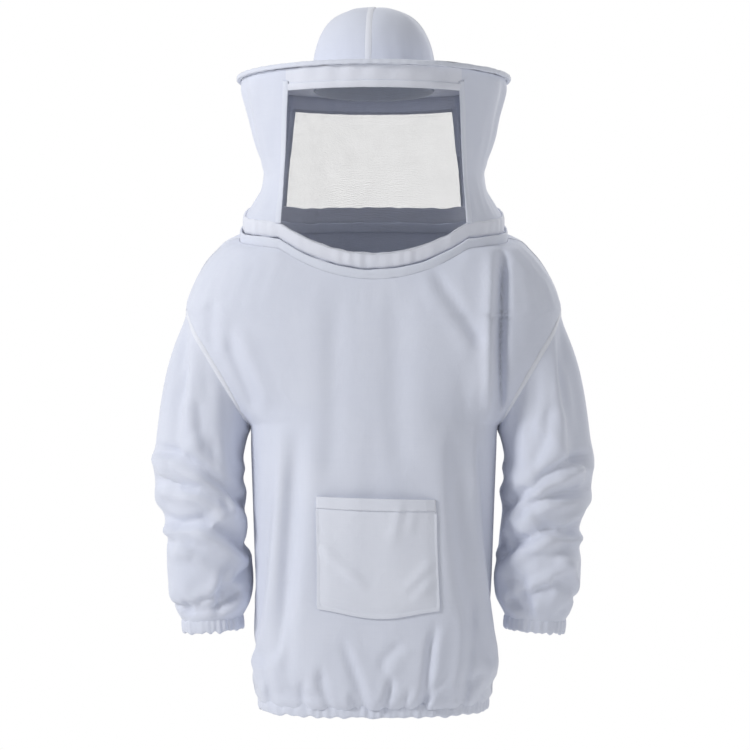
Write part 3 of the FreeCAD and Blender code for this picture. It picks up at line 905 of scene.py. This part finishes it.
def level_loop(half_width, half_depth, height, count, power=SQUARENESS):
    """Points, outward and upward directions of a level rounded loop."""
    flat = rounded(half_width, half_depth, np.linspace(0, 2 * math.pi, 1600), power)
    path = np.c_[flat, np.full(len(flat), height)]
    points = evenly(path, count + 1)[:-1]
    ahead = np.roll(points, -1, 0) - np.roll(points, 1, 0)
    out = np.cross(ahead, (0, 0, 1.0))
    out /= np.linalg.norm(out, axis=1)[:, None]
    return points, out, np.tile((0, 0, 1.0), (count, 1))


def neck_loop(height, grow, count=720):
    """The neck edge: a tilted loop with its scooped front, at a height above the neck plane."""
    points, out, up = level_loop(0.209 + grow, 0.132 + grow, 0.0, count)
    tilt = np.array([[1, 0, 0], [0, math.cos(NECK_TILT), -math.sin(NECK_TILT)],
                     [0, math.sin(NECK_TILT), math.cos(NECK_TILT)]])
    lift = scoop(points[:, 0], points[:, 1])
    points = points @ tilt.T + np.array((0, 0, NECK_HEIGHT))
    points[:, 2] += lift
    up = up @ tilt.T
    return points + up * height, out @ tilt.T, up


HEM_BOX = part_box("hem_casing")
HEM_LOW = HEM_BOX[0][2]
HEM = swept_band("hem_casing_cloth", *level_loop(0.1757, 0.1257, 0.0, 900), HEM_LOW + 0.001,
                 -0.7125, 0.0054, 0.0010, SMOCK_CLOTH, seed=3, waves=58, ripple=0.0013,
                 edge=0.0018)
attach(HEM, "smock")
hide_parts("hem_casing")
print("hem casing area", round(area_of(HEM), 4))

# %% [markdown]
# Two bands close the neck: a smooth binding on the smock and a gathered band at the veil's foot. They could
# be curves with a bevel, but a swept outline takes gathers of its own, so both use the helper above. The
# binding has hardly any ripple because it is sewn flat.

# %% Neck bands
NECK_BINDING = swept_band("neck_binding_cloth", *neck_loop(0.0, -0.003), -0.003, 0.0145, 0.0040, 0.0004,
                          VEIL_SEAM, seed=5, waves=24, ripple=0.0004, edge=0.0006)
NECK_BAND = swept_band("veil_neck_band_cloth", *neck_loop(0.0, -0.0095), 0.0140, 0.039, 0.0044, 0.0010,
                       BAND_CLOTH, seed=8, waves=46, ripple=0.0010, edge=0.0011)
for piece, node, width in ((NECK_BINDING, "neck_binding", 0.019), (NECK_BAND, "veil_neck_band",
                                                                   0.027)):
    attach(piece, "smock")
    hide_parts(node)
    print(piece.name, "area", round(area_of(piece), 4))

# %% [markdown]
# The cuff is the same casing on a small ring. It sits square to the forearm, so its loop is laid out
# across the line from the elbow to the wrist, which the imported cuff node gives.

# %% Cuffs
ELBOW = np.array((0.270, 0.0, -0.365))
WRIST = np.array((0.250, 0.0, -0.615))
CUFF_LENGTH = 0.020


def wrist_loop(sign, count=300):
    mirror = np.array((sign, 1, 1))
    line = (WRIST - ELBOW) / np.linalg.norm(WRIST - ELBOW)
    across = np.array((-line[2], 0, line[0]))
    turn = np.linspace(0, 2 * math.pi, count, endpoint=False) * sign
    out = np.outer(np.cos(turn), across) + np.outer(np.sin(turn), (0, 1.0, 0))
    points = (WRIST - line * CUFF_LENGTH / 2) + out * 0.045
    return points * mirror, out * mirror, np.tile(-line * mirror, (count, 1))


for side, sign in (("left", 1), ("right", -1)):
    cuff = swept_band(side + "_cuff_cloth", *wrist_loop(sign), -0.0105, 0.0115, 0.0050, 0.0010,
                      SMOCK_CLOTH, seed=11 + sign, waves=24, ripple=0.0014, edge=0.0022)
    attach(cuff, side + "_forearm")
    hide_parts(side + "_cuff_casing")
    print(cuff.name, "area", round(area_of(cuff), 4))

# %% [markdown]
# ## Seams
# The side seams, shoulder seams and armholes are felled: one edge is folded over the other and stitched
# twice, which leaves a whiter, thicker strip. The strip follows the draped cloth, so its path is a chain
# of points of the grid itself. It moves with the smock.

# %% Seam strips
SEAM_WIDTH = 0.008
SURFACE = BVHTree.FromPolygons([tuple(p) for p in WHOLE_SMOCK[0]], WHOLE_SMOCK[1].tolist())
DRAPED_NORMALS = point_normals(DRAPED, SMOCK.faces)


def strip_along(name, points, normals, width, lift, material, closed=False):
    """Thin crowned strip along a path that lies on a surface, with UVs in metres."""
    points, normals = np.array(points), np.array(normals)
    if closed:
        ahead = np.roll(points, -1, 0) - np.roll(points, 1, 0)
    else:
        ahead = np.gradient(points, axis=0)
    side = np.cross(ahead, normals)
    side /= np.linalg.norm(side, axis=1)[:, None] + 1e-9
    rows = []
    for share in (-0.5, -0.42, 0.0, 0.42, 0.5):
        rise = lift * (0.15 if abs(share) == 0.5 else 1.0)
        rows.append(points + side * (share * width) + normals * rise)
    grid, faces, _ = sheet_of_rows(rows, closed)
    run = np.r_[0, np.cumsum(np.linalg.norm(np.diff(points, axis=0), axis=1))]
    run = np.r_[run, run[-1] + (run[1] if len(run) > 1 else 0)]
    count = len(points)
    uvs = []
    for i in range(len(rows) - 1):
        low, high = width * i / 4, width * (i + 1) / 4
        for j in range(count if closed else count - 1):
            uvs += [(run[j], low), (run[j + 1], low), (run[j + 1], high), (run[j], high)]
    return new_mesh(name, grid, faces, uvs, material)


def smooth_path(chain, finer=3, closed=False):
    """Path over the draped grid through the given points, finer and softened."""
    points, normals = DRAPED[chain], DRAPED_NORMALS[chain]
    if closed:
        points, normals = np.r_[points, points[:1]], np.r_[normals, normals[:1]]
    share = np.linspace(0, len(points) - 1, (len(points) - 1) * finer + 1)
    at = np.arange(len(points))
    points = np.stack([np.interp(share, at, points[:, k]) for k in range(3)], -1)
    normals = np.stack([np.interp(share, at, normals[:, k]) for k in range(3)], -1)
    if closed:
        points, normals = points[:-1], normals[:-1]
    places = [tuple(SURFACE.find_nearest(Vector(p))[0]) for p in points]
    return np.array(places), normals / np.linalg.norm(normals, axis=1)[:, None]


def side_seam(end):
    return [row[0][end] for row in SMOCK_ROWS[:int(round((ARMPIT[2] - HEM_TOP) / CELL)) + 1]]


def shoulder_seam(end):
    first = int(round((ARMPIT[2] - HEM_TOP) / CELL)) + ARM_ROWS
    return [row[0][end] for row in SMOCK_ROWS[first:]]


for side, sign, end in (("left", 1, 0), ("right", -1, -1)):
    seams = {"side_seam": (side_seam(end), False), "shoulder_seam": (shoulder_seam(end), False),
             "armhole_seam": (ARM_RINGS[sign][0], True)}
    for name, (chain, closed) in seams.items():
        strip = strip_along(f"{side}_{name}", *smooth_path(chain, 3, closed), SEAM_WIDTH,
                            0.0009, SEAM_CLOTH, closed)
        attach(strip, "smock")

# %% [markdown]
# ## Patch pocket
# The pocket is a square of the same cloth, turned in at three edges and hemmed along the top. Its points
# are dropped onto the draped front from straight ahead, then lifted a little, more in the middle of its
# top edge, where the pocket gapes. The outline is uneven because the bottom edge was sewn on a sag.

# %% Pocket
POCKET_CORNERS = {"top_left": (-0.0865, -0.4000), "top_right": (0.0935, -0.4050),
                  "bottom_right": (0.0985, -0.5715), "bottom_left": (-0.0845, -0.5680)}
POCKET_SAG = 0.013
POCKET_CREASES = [((-0.0845, -0.4675), (-0.0400, -0.5120), 0.0040),
                  ((-0.0480, -0.5050), (0.0000, -0.5420), 0.0045),
                  ((0.0405, -0.4100), (0.0240, -0.4900), 0.0035),
                  ((0.0875, -0.4990), (0.0290, -0.5560), 0.0040),
                  ((0.0900, -0.5230), (0.0486, -0.5670), 0.0036),
                  ((0.0600, -0.4200), (0.0500, -0.4700), 0.0025)]


def pocket_outline(u, v):
    """Place on the front, for u across from 0 to 1 and v down from 0 to 1."""
    c = {name: np.array(corner) for name, corner in POCKET_CORNERS.items()}
    top = c["top_left"] * (1 - u) + c["top_right"] * u
    bottom = c["bottom_left"] * (1 - u) + c["bottom_right"] * u
    bottom = bottom - np.array((0, POCKET_SAG * math.sin(math.pi * u) ** 1.5))
    return top * (1 - v) + bottom * v


def crease_height(x, z):
    total = 0.0
    for (x0, z0), (x1, z1), high in POCKET_CREASES:
        line = np.array((x1 - x0, z1 - z0))
        share = np.clip(np.dot((x - x0, z - z0), line) / np.dot(line, line), 0, 1)
        gap = math.dist((x, z), (x0 + share * line[0], z0 + share * line[1]))
        total += high * math.exp(-(gap / 0.0065) ** 2) * math.sin(math.pi * min(1, share + 0.15))
    return total


def pocket_rows(across, down, v_low=0.0, v_high=1.0, lift=0.0):
    rows = []
    for i in range(down + 1):
        v = v_low + (v_high - v_low) * i / down
        row = []
        for j in range(across + 1):
            u = j / across
            x, z = pocket_outline(u, v)
            y = SURFACE.ray_cast(Vector((x, -1.0, z)), Vector((0, 1, 0)))[0].y
            edge = min(u, 1 - u, 1 - v)
            gape = 0.0075 * math.sin(math.pi * u) * (1 - v) ** 2
            puff = 0.0032 * smoothstep(edge, 0.0, 0.10)
            row.append((x, y - 0.0016 - float(puff) - gape - crease_height(x, z) - lift, z))
        rows.append(row)
    heights = np.array([[p[1] for p in row] for row in rows])
    for _ in range(4):
        heights[1:-1, 1:-1] = (heights[:-2, 1:-1] + heights[2:, 1:-1] + heights[1:-1, :-2]
                               + heights[1:-1, 2:]) / 4
    return [[(p[0], y, p[2]) for p, y in zip(row, ys)] for row, ys in zip(rows, heights)]


def thicken(piece, thickness, offset=-1.0):
    """Gives a sheet its cloth thickness."""
    solid = piece.modifiers.new("Thickness", "SOLIDIFY")
    solid.thickness = thickness
    solid.offset = offset
    mesh = bpy.data.meshes.new_from_object(
        piece.evaluated_get(bpy.context.evaluated_depsgraph_get()))
    piece.modifiers.clear()
    piece.data = mesh
    return piece


print("pocket creases:", len(POCKET_CREASES))

# %% [markdown]
# The patch and its hem are made by one helper, because both are rows of points that are given the cloth's
# thickness and sewn to the smock. The seam along the edge is the same crowned strip as the other seams.

# %% Sew the pocket on
def pocket_piece(node, rows, thickness):
    """One sewn-on piece of the pocket, facing forward, from its rows of points."""
    grid, faces, uvs = sheet_of_rows(rows, False)
    turned = [c for i in range(0, len(uvs), 4) for c in uvs[i:i + 4][::-1]]
    piece = thicken(new_mesh(node + "_cloth", grid, [f[::-1] for f in faces], turned, POCKET_CLOTH),
                    thickness, -1.0)
    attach(piece, "smock")
    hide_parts(node)
    return piece


POCKET = pocket_piece("pocket_patch", pocket_rows(64, 60), 0.0008)
POCKET_HEM = pocket_piece("pocket_hem", pocket_rows(64, 8, 0.0, 0.105, lift=0.0012), 0.0010)
EDGE = pocket_rows(40, 40, 0.11)
border = [row[0] for row in EDGE] + EDGE[-1][1:-1] + [row[-1] for row in EDGE[::-1]]
border = np.array(border) - np.array((0, 0.0009, 0))
inward = np.array((0.006, 0, -0.487)) - border
inward[:, 1] = 0
border = border + inward / np.linalg.norm(inward, axis=1)[:, None] * 0.004
EDGE_STRIP = strip_along("pocket_edge_seam", border, np.tile((0, -1.0, 0), (len(border), 1)),
                         SEAM_WIDTH, 0.0003, POCKET_CLOTH)
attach(EDGE_STRIP, "smock")
print("pocket area", round(area_of(POCKET) / 2, 4))

# %% [markdown]
# ## Veil
# The veil is a tube of cloth with a net window in front and one behind. It hangs from the brim to the
# neck band, and it is cut too full, so it pinches in at the middle. It gets its own short simulation,
# held at both ends. Its columns are shared out unevenly so that one column always lies on the window's
# edge, and the net can be cut from the same cloth without a ragged line.

# %% Veil grid
BRIM_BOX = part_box("brim_under_cover")
BRIM_LOW = BRIM_BOX[0][2]
PIPING_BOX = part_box("rim_piping")
BRIM_REACH = PIPING_BOX[1][0] - 0.0036
WINDOW_COLUMNS, SIDE_COLUMNS, VEIL_ROWS, BAND_ROWS = 18, 16, 26, 3
NECK_UP = np.array((0, -math.sin(NECK_TILT), math.cos(NECK_TILT)))
# share of the way up, half width, half depth in front, half depth behind
VEIL_SHAPE = [(0.0, 0.1985, 0.1300, 0.1300), (0.06, 0.191, 0.135, 0.134),
              (0.20, 0.177, 0.144, 0.143), (0.34, 0.168, 0.153, 0.151), (0.46, 0.171, 0.162, 0.160),
              (0.60, 0.181, 0.173, 0.171), (0.74, 0.189, 0.184, 0.182), (0.88, 0.199, 0.197, 0.196),
              (1.0, 0.2060, 0.2060, 0.2060)]
WINDOW_EDGE = [(0.0, 0.144), (0.5, 0.136), (0.9, 0.131), (1.0, 0.131)]


def veil_row(share):
    width = along_table(VEIL_SHAPE, share, 1)
    power = 2.5 - 0.5 * smoothstep(share, 0.0, 0.8)
    quarters = []
    for side, depth in ((-1, along_table(VEIL_SHAPE, share, 2)),
                        (1, along_table(VEIL_SHAPE, share, 3))):
        flat = rounded(width, depth, np.linspace(math.pi / 2, 0, 300), power)
        path = np.c_[flat[:, 0], flat[:, 1] * side, np.zeros(len(flat))]
        run = np.r_[0, np.cumsum(np.linalg.norm(np.diff(path, axis=0), axis=1))]
        edge = np.interp(along_table(WINDOW_EDGE, share, 1), path[:, 0], run / run[-1])
        shares = np.r_[np.linspace(0, edge, WINDOW_COLUMNS + 1),
                       np.linspace(edge, 1, SIDE_COLUMNS + 1)[1:]]
        quarters.append(evenly(path, 0, shares))
    front, back = quarters
    mirror = np.array((-1, 1, 1))
    loop = np.r_[front, back[::-1][1:], (back * mirror)[1:], (front * mirror)[::-1][1:-1]]
    tilt = NECK_TILT * (1 - smoothstep(share, 0.0, 1.0))
    low = NECK_HEIGHT + 0.036
    height = low + (BRIM_LOW + 0.0005 - low) * share
    lift = scoop(loop[:, 0], loop[:, 1]) * (1 - smoothstep(share, 0.0, 0.55))
    return np.c_[loop[:, 0], loop[:, 1] * math.cos(tilt) - 0.009 * (1 - share),
                 height + loop[:, 1] * math.sin(tilt) + lift]


VEIL_LOOPS = [veil_row(i / VEIL_ROWS) for i in range(VEIL_ROWS + 1)]
VEIL_COUNT = len(VEIL_LOOPS[0])
HALF = WINDOW_COLUMNS + SIDE_COLUMNS
VEIL_ZONES = ("veil_net_front", "veil_top_band_front", "veil_side_left", "veil_side_right",
              "veil_net_back", "veil_top_band_back")


def veil_zone(column, row):
    """Which piece a cell belongs to."""
    column = min(column, VEIL_COUNT - 1 - column)
    band = row >= VEIL_ROWS - BAND_ROWS
    if column < WINDOW_COLUMNS:
        return 1 if band else 0
    if column >= 2 * HALF - WINDOW_COLUMNS:
        return 5 if band else 4
    return None


def veil_grid():
    points, faces, uvs = sheet_of_rows(VEIL_LOOPS, True)
    tags = []
    for n in range(len(faces)):
        row, column = divmod(n, VEIL_COUNT)
        zone = veil_zone(column, row)
        if zone is None:
            zone = 2 if column < VEIL_COUNT / 2 else 3
        tags.append(zone)
    return np.array(points), faces, [uvs[i:i + 4] for i in range(0, len(uvs), 4)], tags


# %% [markdown]
# Folds in the side panels start under the brim, where the extra width is pleated in, and run down to the
# pinch. The net is springy and stays nearly flat, so it is held more firmly than the cloth.

# %% Drape the veil
def drape_veil():
    points, faces, uvs, tags = veil_grid()
    normals = point_normals(points, faces)
    row = np.repeat(np.arange(VEIL_ROWS + 1), VEIL_COUNT) / VEIL_ROWS
    column = np.tile(np.arange(VEIL_COUNT), VEIL_ROWS + 1)
    near = np.minimum(column, VEIL_COUNT - column)
    side = smoothstep(near, WINDOW_COLUMNS - 1, WINDOW_COLUMNS + 3) * smoothstep(
        2 * HALF - near, WINDOW_COLUMNS - 1, WINDOW_COLUMNS + 3)
    source = np.random.default_rng(21)
    folds = np.zeros(len(points))
    for _ in range(9):
        place = source.uniform(WINDOW_COLUMNS + 1, 2 * HALF - WINDOW_COLUMNS - 1)
        drift = source.uniform(-5, 5)
        for mirror in (1, -1):
            centre = place * mirror % VEIL_COUNT + drift * (1 - row) * mirror
            gap = (column - centre) / source.uniform(1.0, 1.7)
            folds += source.uniform(0.004, 0.009) * np.exp(-gap * gap) * smoothstep(row, 0.15, 0.7)
    gathers = np.tile(ripples(VEIL_COUNT, 34, 4), VEIL_ROWS + 1)
    folds += 0.0022 * gathers * (1 - smoothstep(row, 0.02, 0.35)) * (0.3 + 0.7 * side)
    folds *= smoothstep(row, 0.0, 0.08) * smoothstep(1 - row, 0.0, 0.06)
    creased = np.tile(ripples(VEIL_COUNT, 26, 6), VEIL_ROWS + 1) * smoothstep(row, 0.84, 0.95)
    amount = folds * (0.06 + 0.94 * side) + 0.0016 * creased * (1 - side)
    points = points + normals * amount[:, None]
    cloth = new_mesh("veil_draping", points, faces)
    held = np.where((row < 0.001) | (row > 0.999), 1.0, 0.30 - 0.28 * side)
    held = np.where(row > 1 - (BAND_ROWS + 0.5) / VEIL_ROWS, np.maximum(held, 0.25), held)
    grown = 0.15 + 0.85 * side
    places = drape(cloth, held, grown, 22, 20.0, 0.10)
    bpy.data.objects.remove(cloth)
    return places, faces, uvs, tags


VEIL_POINTS, VEIL_FACES, VEIL_UVS, VEIL_TAGS = drape_veil()
WHOLE_VEIL = refine(VEIL_POINTS, VEIL_FACES, VEIL_UVS, VEIL_TAGS)
VEIL = {}
VEIL_START, VEIL_END = NECK_UP * 0.062, NECK_UP * 0.182
VEIL_START[2] += NECK_HEIGHT
VEIL_END[2] += NECK_HEIGHT
for tag, name in enumerate(VEIL_ZONES):
    net = "net" in name
    piece = cut_out(name + ("" if net else "_cloth") + "_sheet", WHOLE_VEIL, tag,
                    NET if net else BAND_CLOTH if "band" in name else SMOCK_CLOTH)
    VEIL[name] = piece
    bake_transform(piece)
    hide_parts(name)

# %% [markdown]
# A folded strip binds the net to the cloth down each side of the window, and a narrow hem closes the foot
# of the top band. Both follow the veil's own columns and rows.

# %% Window bindings
VEIL_NORMALS = point_normals(VEIL_POINTS, VEIL_FACES)


def veil_path(chain, lift=0.0):
    points, normals = VEIL_POINTS[chain], VEIL_NORMALS[chain]
    at = np.arange(len(points))
    share = np.linspace(0, len(points) - 1, (len(points) - 1) * 3 + 1)
    points = np.stack([np.interp(share, at, points[:, k]) for k in range(3)], -1)
    normals = np.stack([np.interp(share, at, normals[:, k]) for k in range(3)], -1)
    return points + normals * lift, normals / np.linalg.norm(normals, axis=1)[:, None]


def veil_column(column):
    return [i * VEIL_COUNT + column for i in range(VEIL_ROWS - BAND_ROWS + 2)]


def band_foot(centre):
    row = VEIL_ROWS - BAND_ROWS
    return [row * VEIL_COUNT + (centre + k) % VEIL_COUNT
            for k in range(-WINDOW_COLUMNS, WINDOW_COLUMNS + 1)]


for face, columns, centre in (
        ("front", {"left": WINDOW_COLUMNS, "right": VEIL_COUNT - WINDOW_COLUMNS}, 0),
        ("back", {"left": 2 * HALF - WINDOW_COLUMNS, "right": 2 * HALF + WINDOW_COLUMNS}, 2 * HALF)):
    paths = {f"net_binding_{face}_{side}": veil_column(c) for side, c in columns.items()}
    paths[f"top_band_hem_{face}"] = band_foot(centre)
    for name, chain in paths.items():
        width = 0.010
        lift, material = (0.0007, VEIL_SEAM) if "binding" in name else (0.0006, BAND_CLOTH)
        strip = thicken(strip_along(name, *veil_path(chain, 0.0003), width, lift, material),
                        0.0012, 0.0)
        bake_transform(strip)
        if "left" in name:
            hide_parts("net_binding_" + face)
print("veil bound and hemmed")

# %% [markdown]
# ## Hat
# The brim is two covers over a stiff ring, quilted in rounds. The rounds are slight dips in the mesh, not
# only in the bump, so they show at the edge of a shadow. The cloth between them is a little wavy.

# %% Brim
CROWN_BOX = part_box("crown_gore_front_left")
CROWN_BASE = CROWN_BOX[0][2]
CROWN_WIDE, CROWN_DEEP = CROWN_BOX[1][0], -CROWN_BOX[0][1]
CROWN_TOP = CROWN_BOX[1][2]
BRIM_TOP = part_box("brim_top_cover")[1][2]


def brim_cover(name, height, face_up, seed, drop):
    source = np.random.default_rng(seed)
    waves = [(int(source.integers(2, 9)), source.uniform(0, 6.28), source.uniform(0.3, 1))
             for _ in range(6)]
    around, rings = 192, 34
    rows = []
    for i in range(rings + 1):
        share = i / rings
        row = []
        for j in range(around):
            turn = 2 * math.pi * j / around
            inner = np.array(((CROWN_WIDE - 0.003) * math.cos(turn),
                              (CROWN_DEEP - 0.003) * math.sin(turn)))
            outer = np.array((math.cos(turn), math.sin(turn))) * (BRIM_REACH - 0.0035)
            x, y = inner * (1 - share) + outer * share
            quilt = abs(math.sin(math.pi * share * 7)) ** 0.6
            wave = sum(a * math.sin(k * turn + p) for k, p, a in waves) * 0.0005
            z = height + face_up * (0.0010 * quilt + 0.0002) + wave * share + drop * share
            row.append((x, y, z))
        rows.append(row)
    grid, faces, uvs = sheet_of_rows(rows, True)
    if face_up > 0:
        faces = [f[::-1] for f in faces]
        uvs = [c for i in range(0, len(uvs), 4) for c in uvs[i:i + 4][::-1]]
    return new_mesh(name, grid, faces, uvs, SMOCK_CLOTH)


BRIM_MIDDLE = (BRIM_LOW + BRIM_TOP) / 2
for name, node, height, face_up, seed in (
        ("brim_top_cloth", "brim_top_cover", BRIM_TOP - 0.0004, 1, 31),
        ("brim_under_cloth", "brim_under_cover", BRIM_LOW + 0.0004, -1, 33)):
    cover = brim_cover(name, height, face_up, seed, 0.0)
    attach(cover, "hat")
    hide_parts(node)
    print(name, "area", round(area_of(cover), 4))

# %% [markdown]
# A narrow strip is folded round the wire and sewn to the brim's edge. A torus would be quicker, but its
# outline is a perfect circle and it can't pucker. The swept band has the flattened outline of folded cloth
# and a faint pucker where it is stitched.

# %% Rim piping
def round_loop(radius, height, count=720):
    turn = np.linspace(0, 2 * math.pi, count, endpoint=False)
    out = np.c_[np.cos(turn), np.sin(turn), np.zeros(count)]
    points = out * radius + np.array((0, 0, height))
    return points, out, np.tile((0, 0, 1.0), (count, 1))


PIPING = swept_band("rim_piping_cloth", *round_loop(BRIM_REACH, BRIM_MIDDLE), -0.0036, 0.0036, 0.0070,
                    0.0, VEIL_SEAM, seed=41, waves=60, ripple=0.0004, edge=0.0005)
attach(PIPING, "hat")
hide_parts("rim_piping")
print("piping area", round(area_of(PIPING), 4))

# %% [markdown]
# The crown is four gores sewn to a dome. A gore's cloth is held along its seams and bulges a little
# between them, so each one is its own curved sheet, fullest half way between its seams. The hat sits
# with its front seam a few degrees round to the wearer's right.

# %% Crown gores
CROWN_TURN = math.radians(-5.0)


def crown_point(turn, share, grow=0.0):
    """Point of the crown: turn round it, and share of the way up from base to top."""
    rise = math.pi / 2 * share
    out = max(0.0, math.cos(rise)) ** (2 / 2.5)
    up = math.sin(rise) ** (2 / 2.5)
    spread = math.pi / 2
    from_seam = (turn - CROWN_TURN) % spread / spread
    bulge = 0.0016 * math.sin(math.pi * from_seam) * math.cos(rise) ** 0.5
    pucker = 0.0006 * math.sin(from_seam * 40 + share * 9) * math.exp(-share * 7)
    crease = 0.0009 * math.sin(7 * share + 3.1 * math.cos(turn * 3)) * math.sin(math.pi * share)
    extra = bulge + pucker + crease + grow - 0.0012
    return ((CROWN_WIDE + extra) * out * math.cos(turn), (CROWN_DEEP + extra) * out * math.sin(turn),
            CROWN_BASE - 0.0008 + (CROWN_TOP - CROWN_BASE + extra * share) * up)


def crown_seam(turn):
    return np.array([crown_point(turn, s) for s in np.linspace(0.0, 0.992, 60)])


GORES = {"back_left": 0, "back_right": 1, "front_right": 2, "front_left": 3}
for name, quarter in GORES.items():
    rows = []
    for i in range(37):
        share = min(i / 36, 0.9995)
        rows.append([crown_point(CROWN_TURN + math.pi / 2 * (quarter + j / 28), share)
                     for j in range(29)])
    grid, faces, uvs = sheet_of_rows(rows, False)
    gore = thicken(new_mesh(f"crown_gore_{name}_cloth", grid, faces, uvs, SMOCK_CLOTH), 0.0009, -1.0)
    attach(gore, "hat")
    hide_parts("crown_gore_" + name)
    path = crown_seam(CROWN_TURN + math.pi / 2 * quarter)
    normals = path - np.array((0, 0, CROWN_BASE + 0.02))
    normals /= np.linalg.norm(normals, axis=1)[:, None]
    seam = strip_along(f"crown_seam_{name}", path, normals, 0.010, 0.0007, SEAM_CLOTH)
    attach(seam, "hat")
print("crown gore area", round(area_of(gore) / 2, 4))

# %% [markdown]
# The sweatband is the only part that touches the head. It is a doubled cotton band, stitched into the
# join between the crown and the brim, and its lower edge shows below the brim.

# %% Sweatband
SWEAT_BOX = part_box("sweatband")
SWEAT_LOW, SWEAT_HIGH = SWEAT_BOX[0][2], SWEAT_BOX[1][2]
SWEATBAND = swept_band("sweatband_cotton_band",
                       *level_loop(SWEAT_BOX[1][0] - 0.0012, SWEAT_BOX[1][1] - 0.0012, 0.0, 480, 2.0),
                       SWEAT_LOW, SWEAT_HIGH, 0.0020, 0.0, BAND_COTTON, seed=51, waves=14,
                       ripple=0.0006, edge=0.0006)
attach(SWEATBAND, "hat")
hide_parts("sweatband")
print("sweatband area", round(area_of(SWEATBAND), 4))

# %% [markdown]
# Some pieces stay as they were made in the frame, because their shape is already right: the elastics,
# the wire, the stiff ring and the tape. They only need a finish.

# %% Finishes of the carried-over pieces
KEPT = {"hem_elastic": BRAID, "left_cuff_elastic": BRAID, "right_cuff_elastic": BRAID,
        "rim_wire": WIRE_STEEL, "brim_stiffener": STIFF_FELT, "crown_seam_tape": BAND_COTTON}
for node, material in KEPT.items():
    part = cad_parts[node]
    part.data.materials.clear()
    part.data.materials.append(material)
    if not part.data.uv_layers:
        part.data.uv_layers.new(name="cloth")
    print("kept", node)

# %% [markdown]
# ## Studio
# The smock floats at the height it is worn, over a plain pale floor. A wide soft light in front and above
# keeps the folds readable, and a weaker one opens the shadow side. The camera stands at chest height,
# far enough back that the brim looks flat.

# %% Floor, lights and camera
def floor_finish():
    material = bpy.data.materials.new("studio_floor")
    material.use_nodes = True
    tree = material.node_tree
    shader = tree.nodes["Principled BSDF"]
    shader.inputs["Roughness"].default_value = 0.9
    shader.inputs["Base Color"].default_value = (0.86, 0.86, 0.87, 1)
    return material


FLOOR_LEVEL = -1.65
bpy.ops.mesh.primitive_circle_add(vertices=96, radius=3.6, fill_type="NGON",
                                  location=(0, 0, FLOOR_LEVEL))
FLOOR = bpy.context.object
FLOOR.name = "studio_floor"
FLOOR.data.materials.append(floor_finish())

WORLD = bpy.data.worlds.new("studio")
WORLD.use_nodes = True
TREE = WORLD.node_tree
TREE.nodes["Background"].inputs["Color"].default_value = (1.0, 1.0, 1.0, 1)
SKY = TREE.nodes.new("ShaderNodeTexCoord")
PARTS = TREE.nodes.new("ShaderNodeSeparateXYZ")
RAMP = TREE.nodes.new("ShaderNodeMapRange")
TREE.links.new(SKY.outputs["Generated"], PARTS.inputs[0])
TREE.links.new(PARTS.outputs[1], RAMP.inputs["Value"])
RAMP.inputs["From Min"].default_value = -0.3
RAMP.inputs["From Max"].default_value = 0.85
RAMP.inputs["To Min"].default_value = 0.34
RAMP.inputs["To Max"].default_value = 1.0
TREE.links.new(RAMP.outputs[0], TREE.nodes["Background"].inputs["Strength"])
SCENE.world = WORLD


def soft_light(name, place, target, size, power, colour=(1, 1, 1)):
    light = bpy.data.lights.new(name, "AREA")
    light.energy, light.size, light.color = power, size, colour
    lamp = bpy.data.objects.new(name, light)
    lamp.location = place
    lamp.rotation_euler = (Vector(target) - Vector(place)).to_track_quat("-Z", "Y").to_euler()
    SCENE.collection.objects.link(lamp)


soft_light("key", (-2.8, -2.0, 1.3), (0, 0, -0.25), 0.9, 74)
soft_light("fill", (2.4, -1.8, 0.2), (0, 0, -0.3), 1.6, 9)
soft_light("rim", (1.2, 2.2, 1.2), (0, 0, -0.2), 1.2, 18)

CAMERA_HEIGHT = -0.218
CAMERA_DISTANCE = 3.5
camera_data = bpy.data.cameras.new("camera")
camera_data.sensor_width = 36.0
camera_data.lens = 107.7
CAMERA = bpy.data.objects.new("camera", camera_data)
CAMERA.location = (0.002, -CAMERA_DISTANCE, CAMERA_HEIGHT)
CAMERA.rotation_euler = (math.pi / 2, 0, 0)
SCENE.collection.objects.link(CAMERA)
SCENE.camera = CAMERA
SCENE.view_settings.view_transform = "Standard"
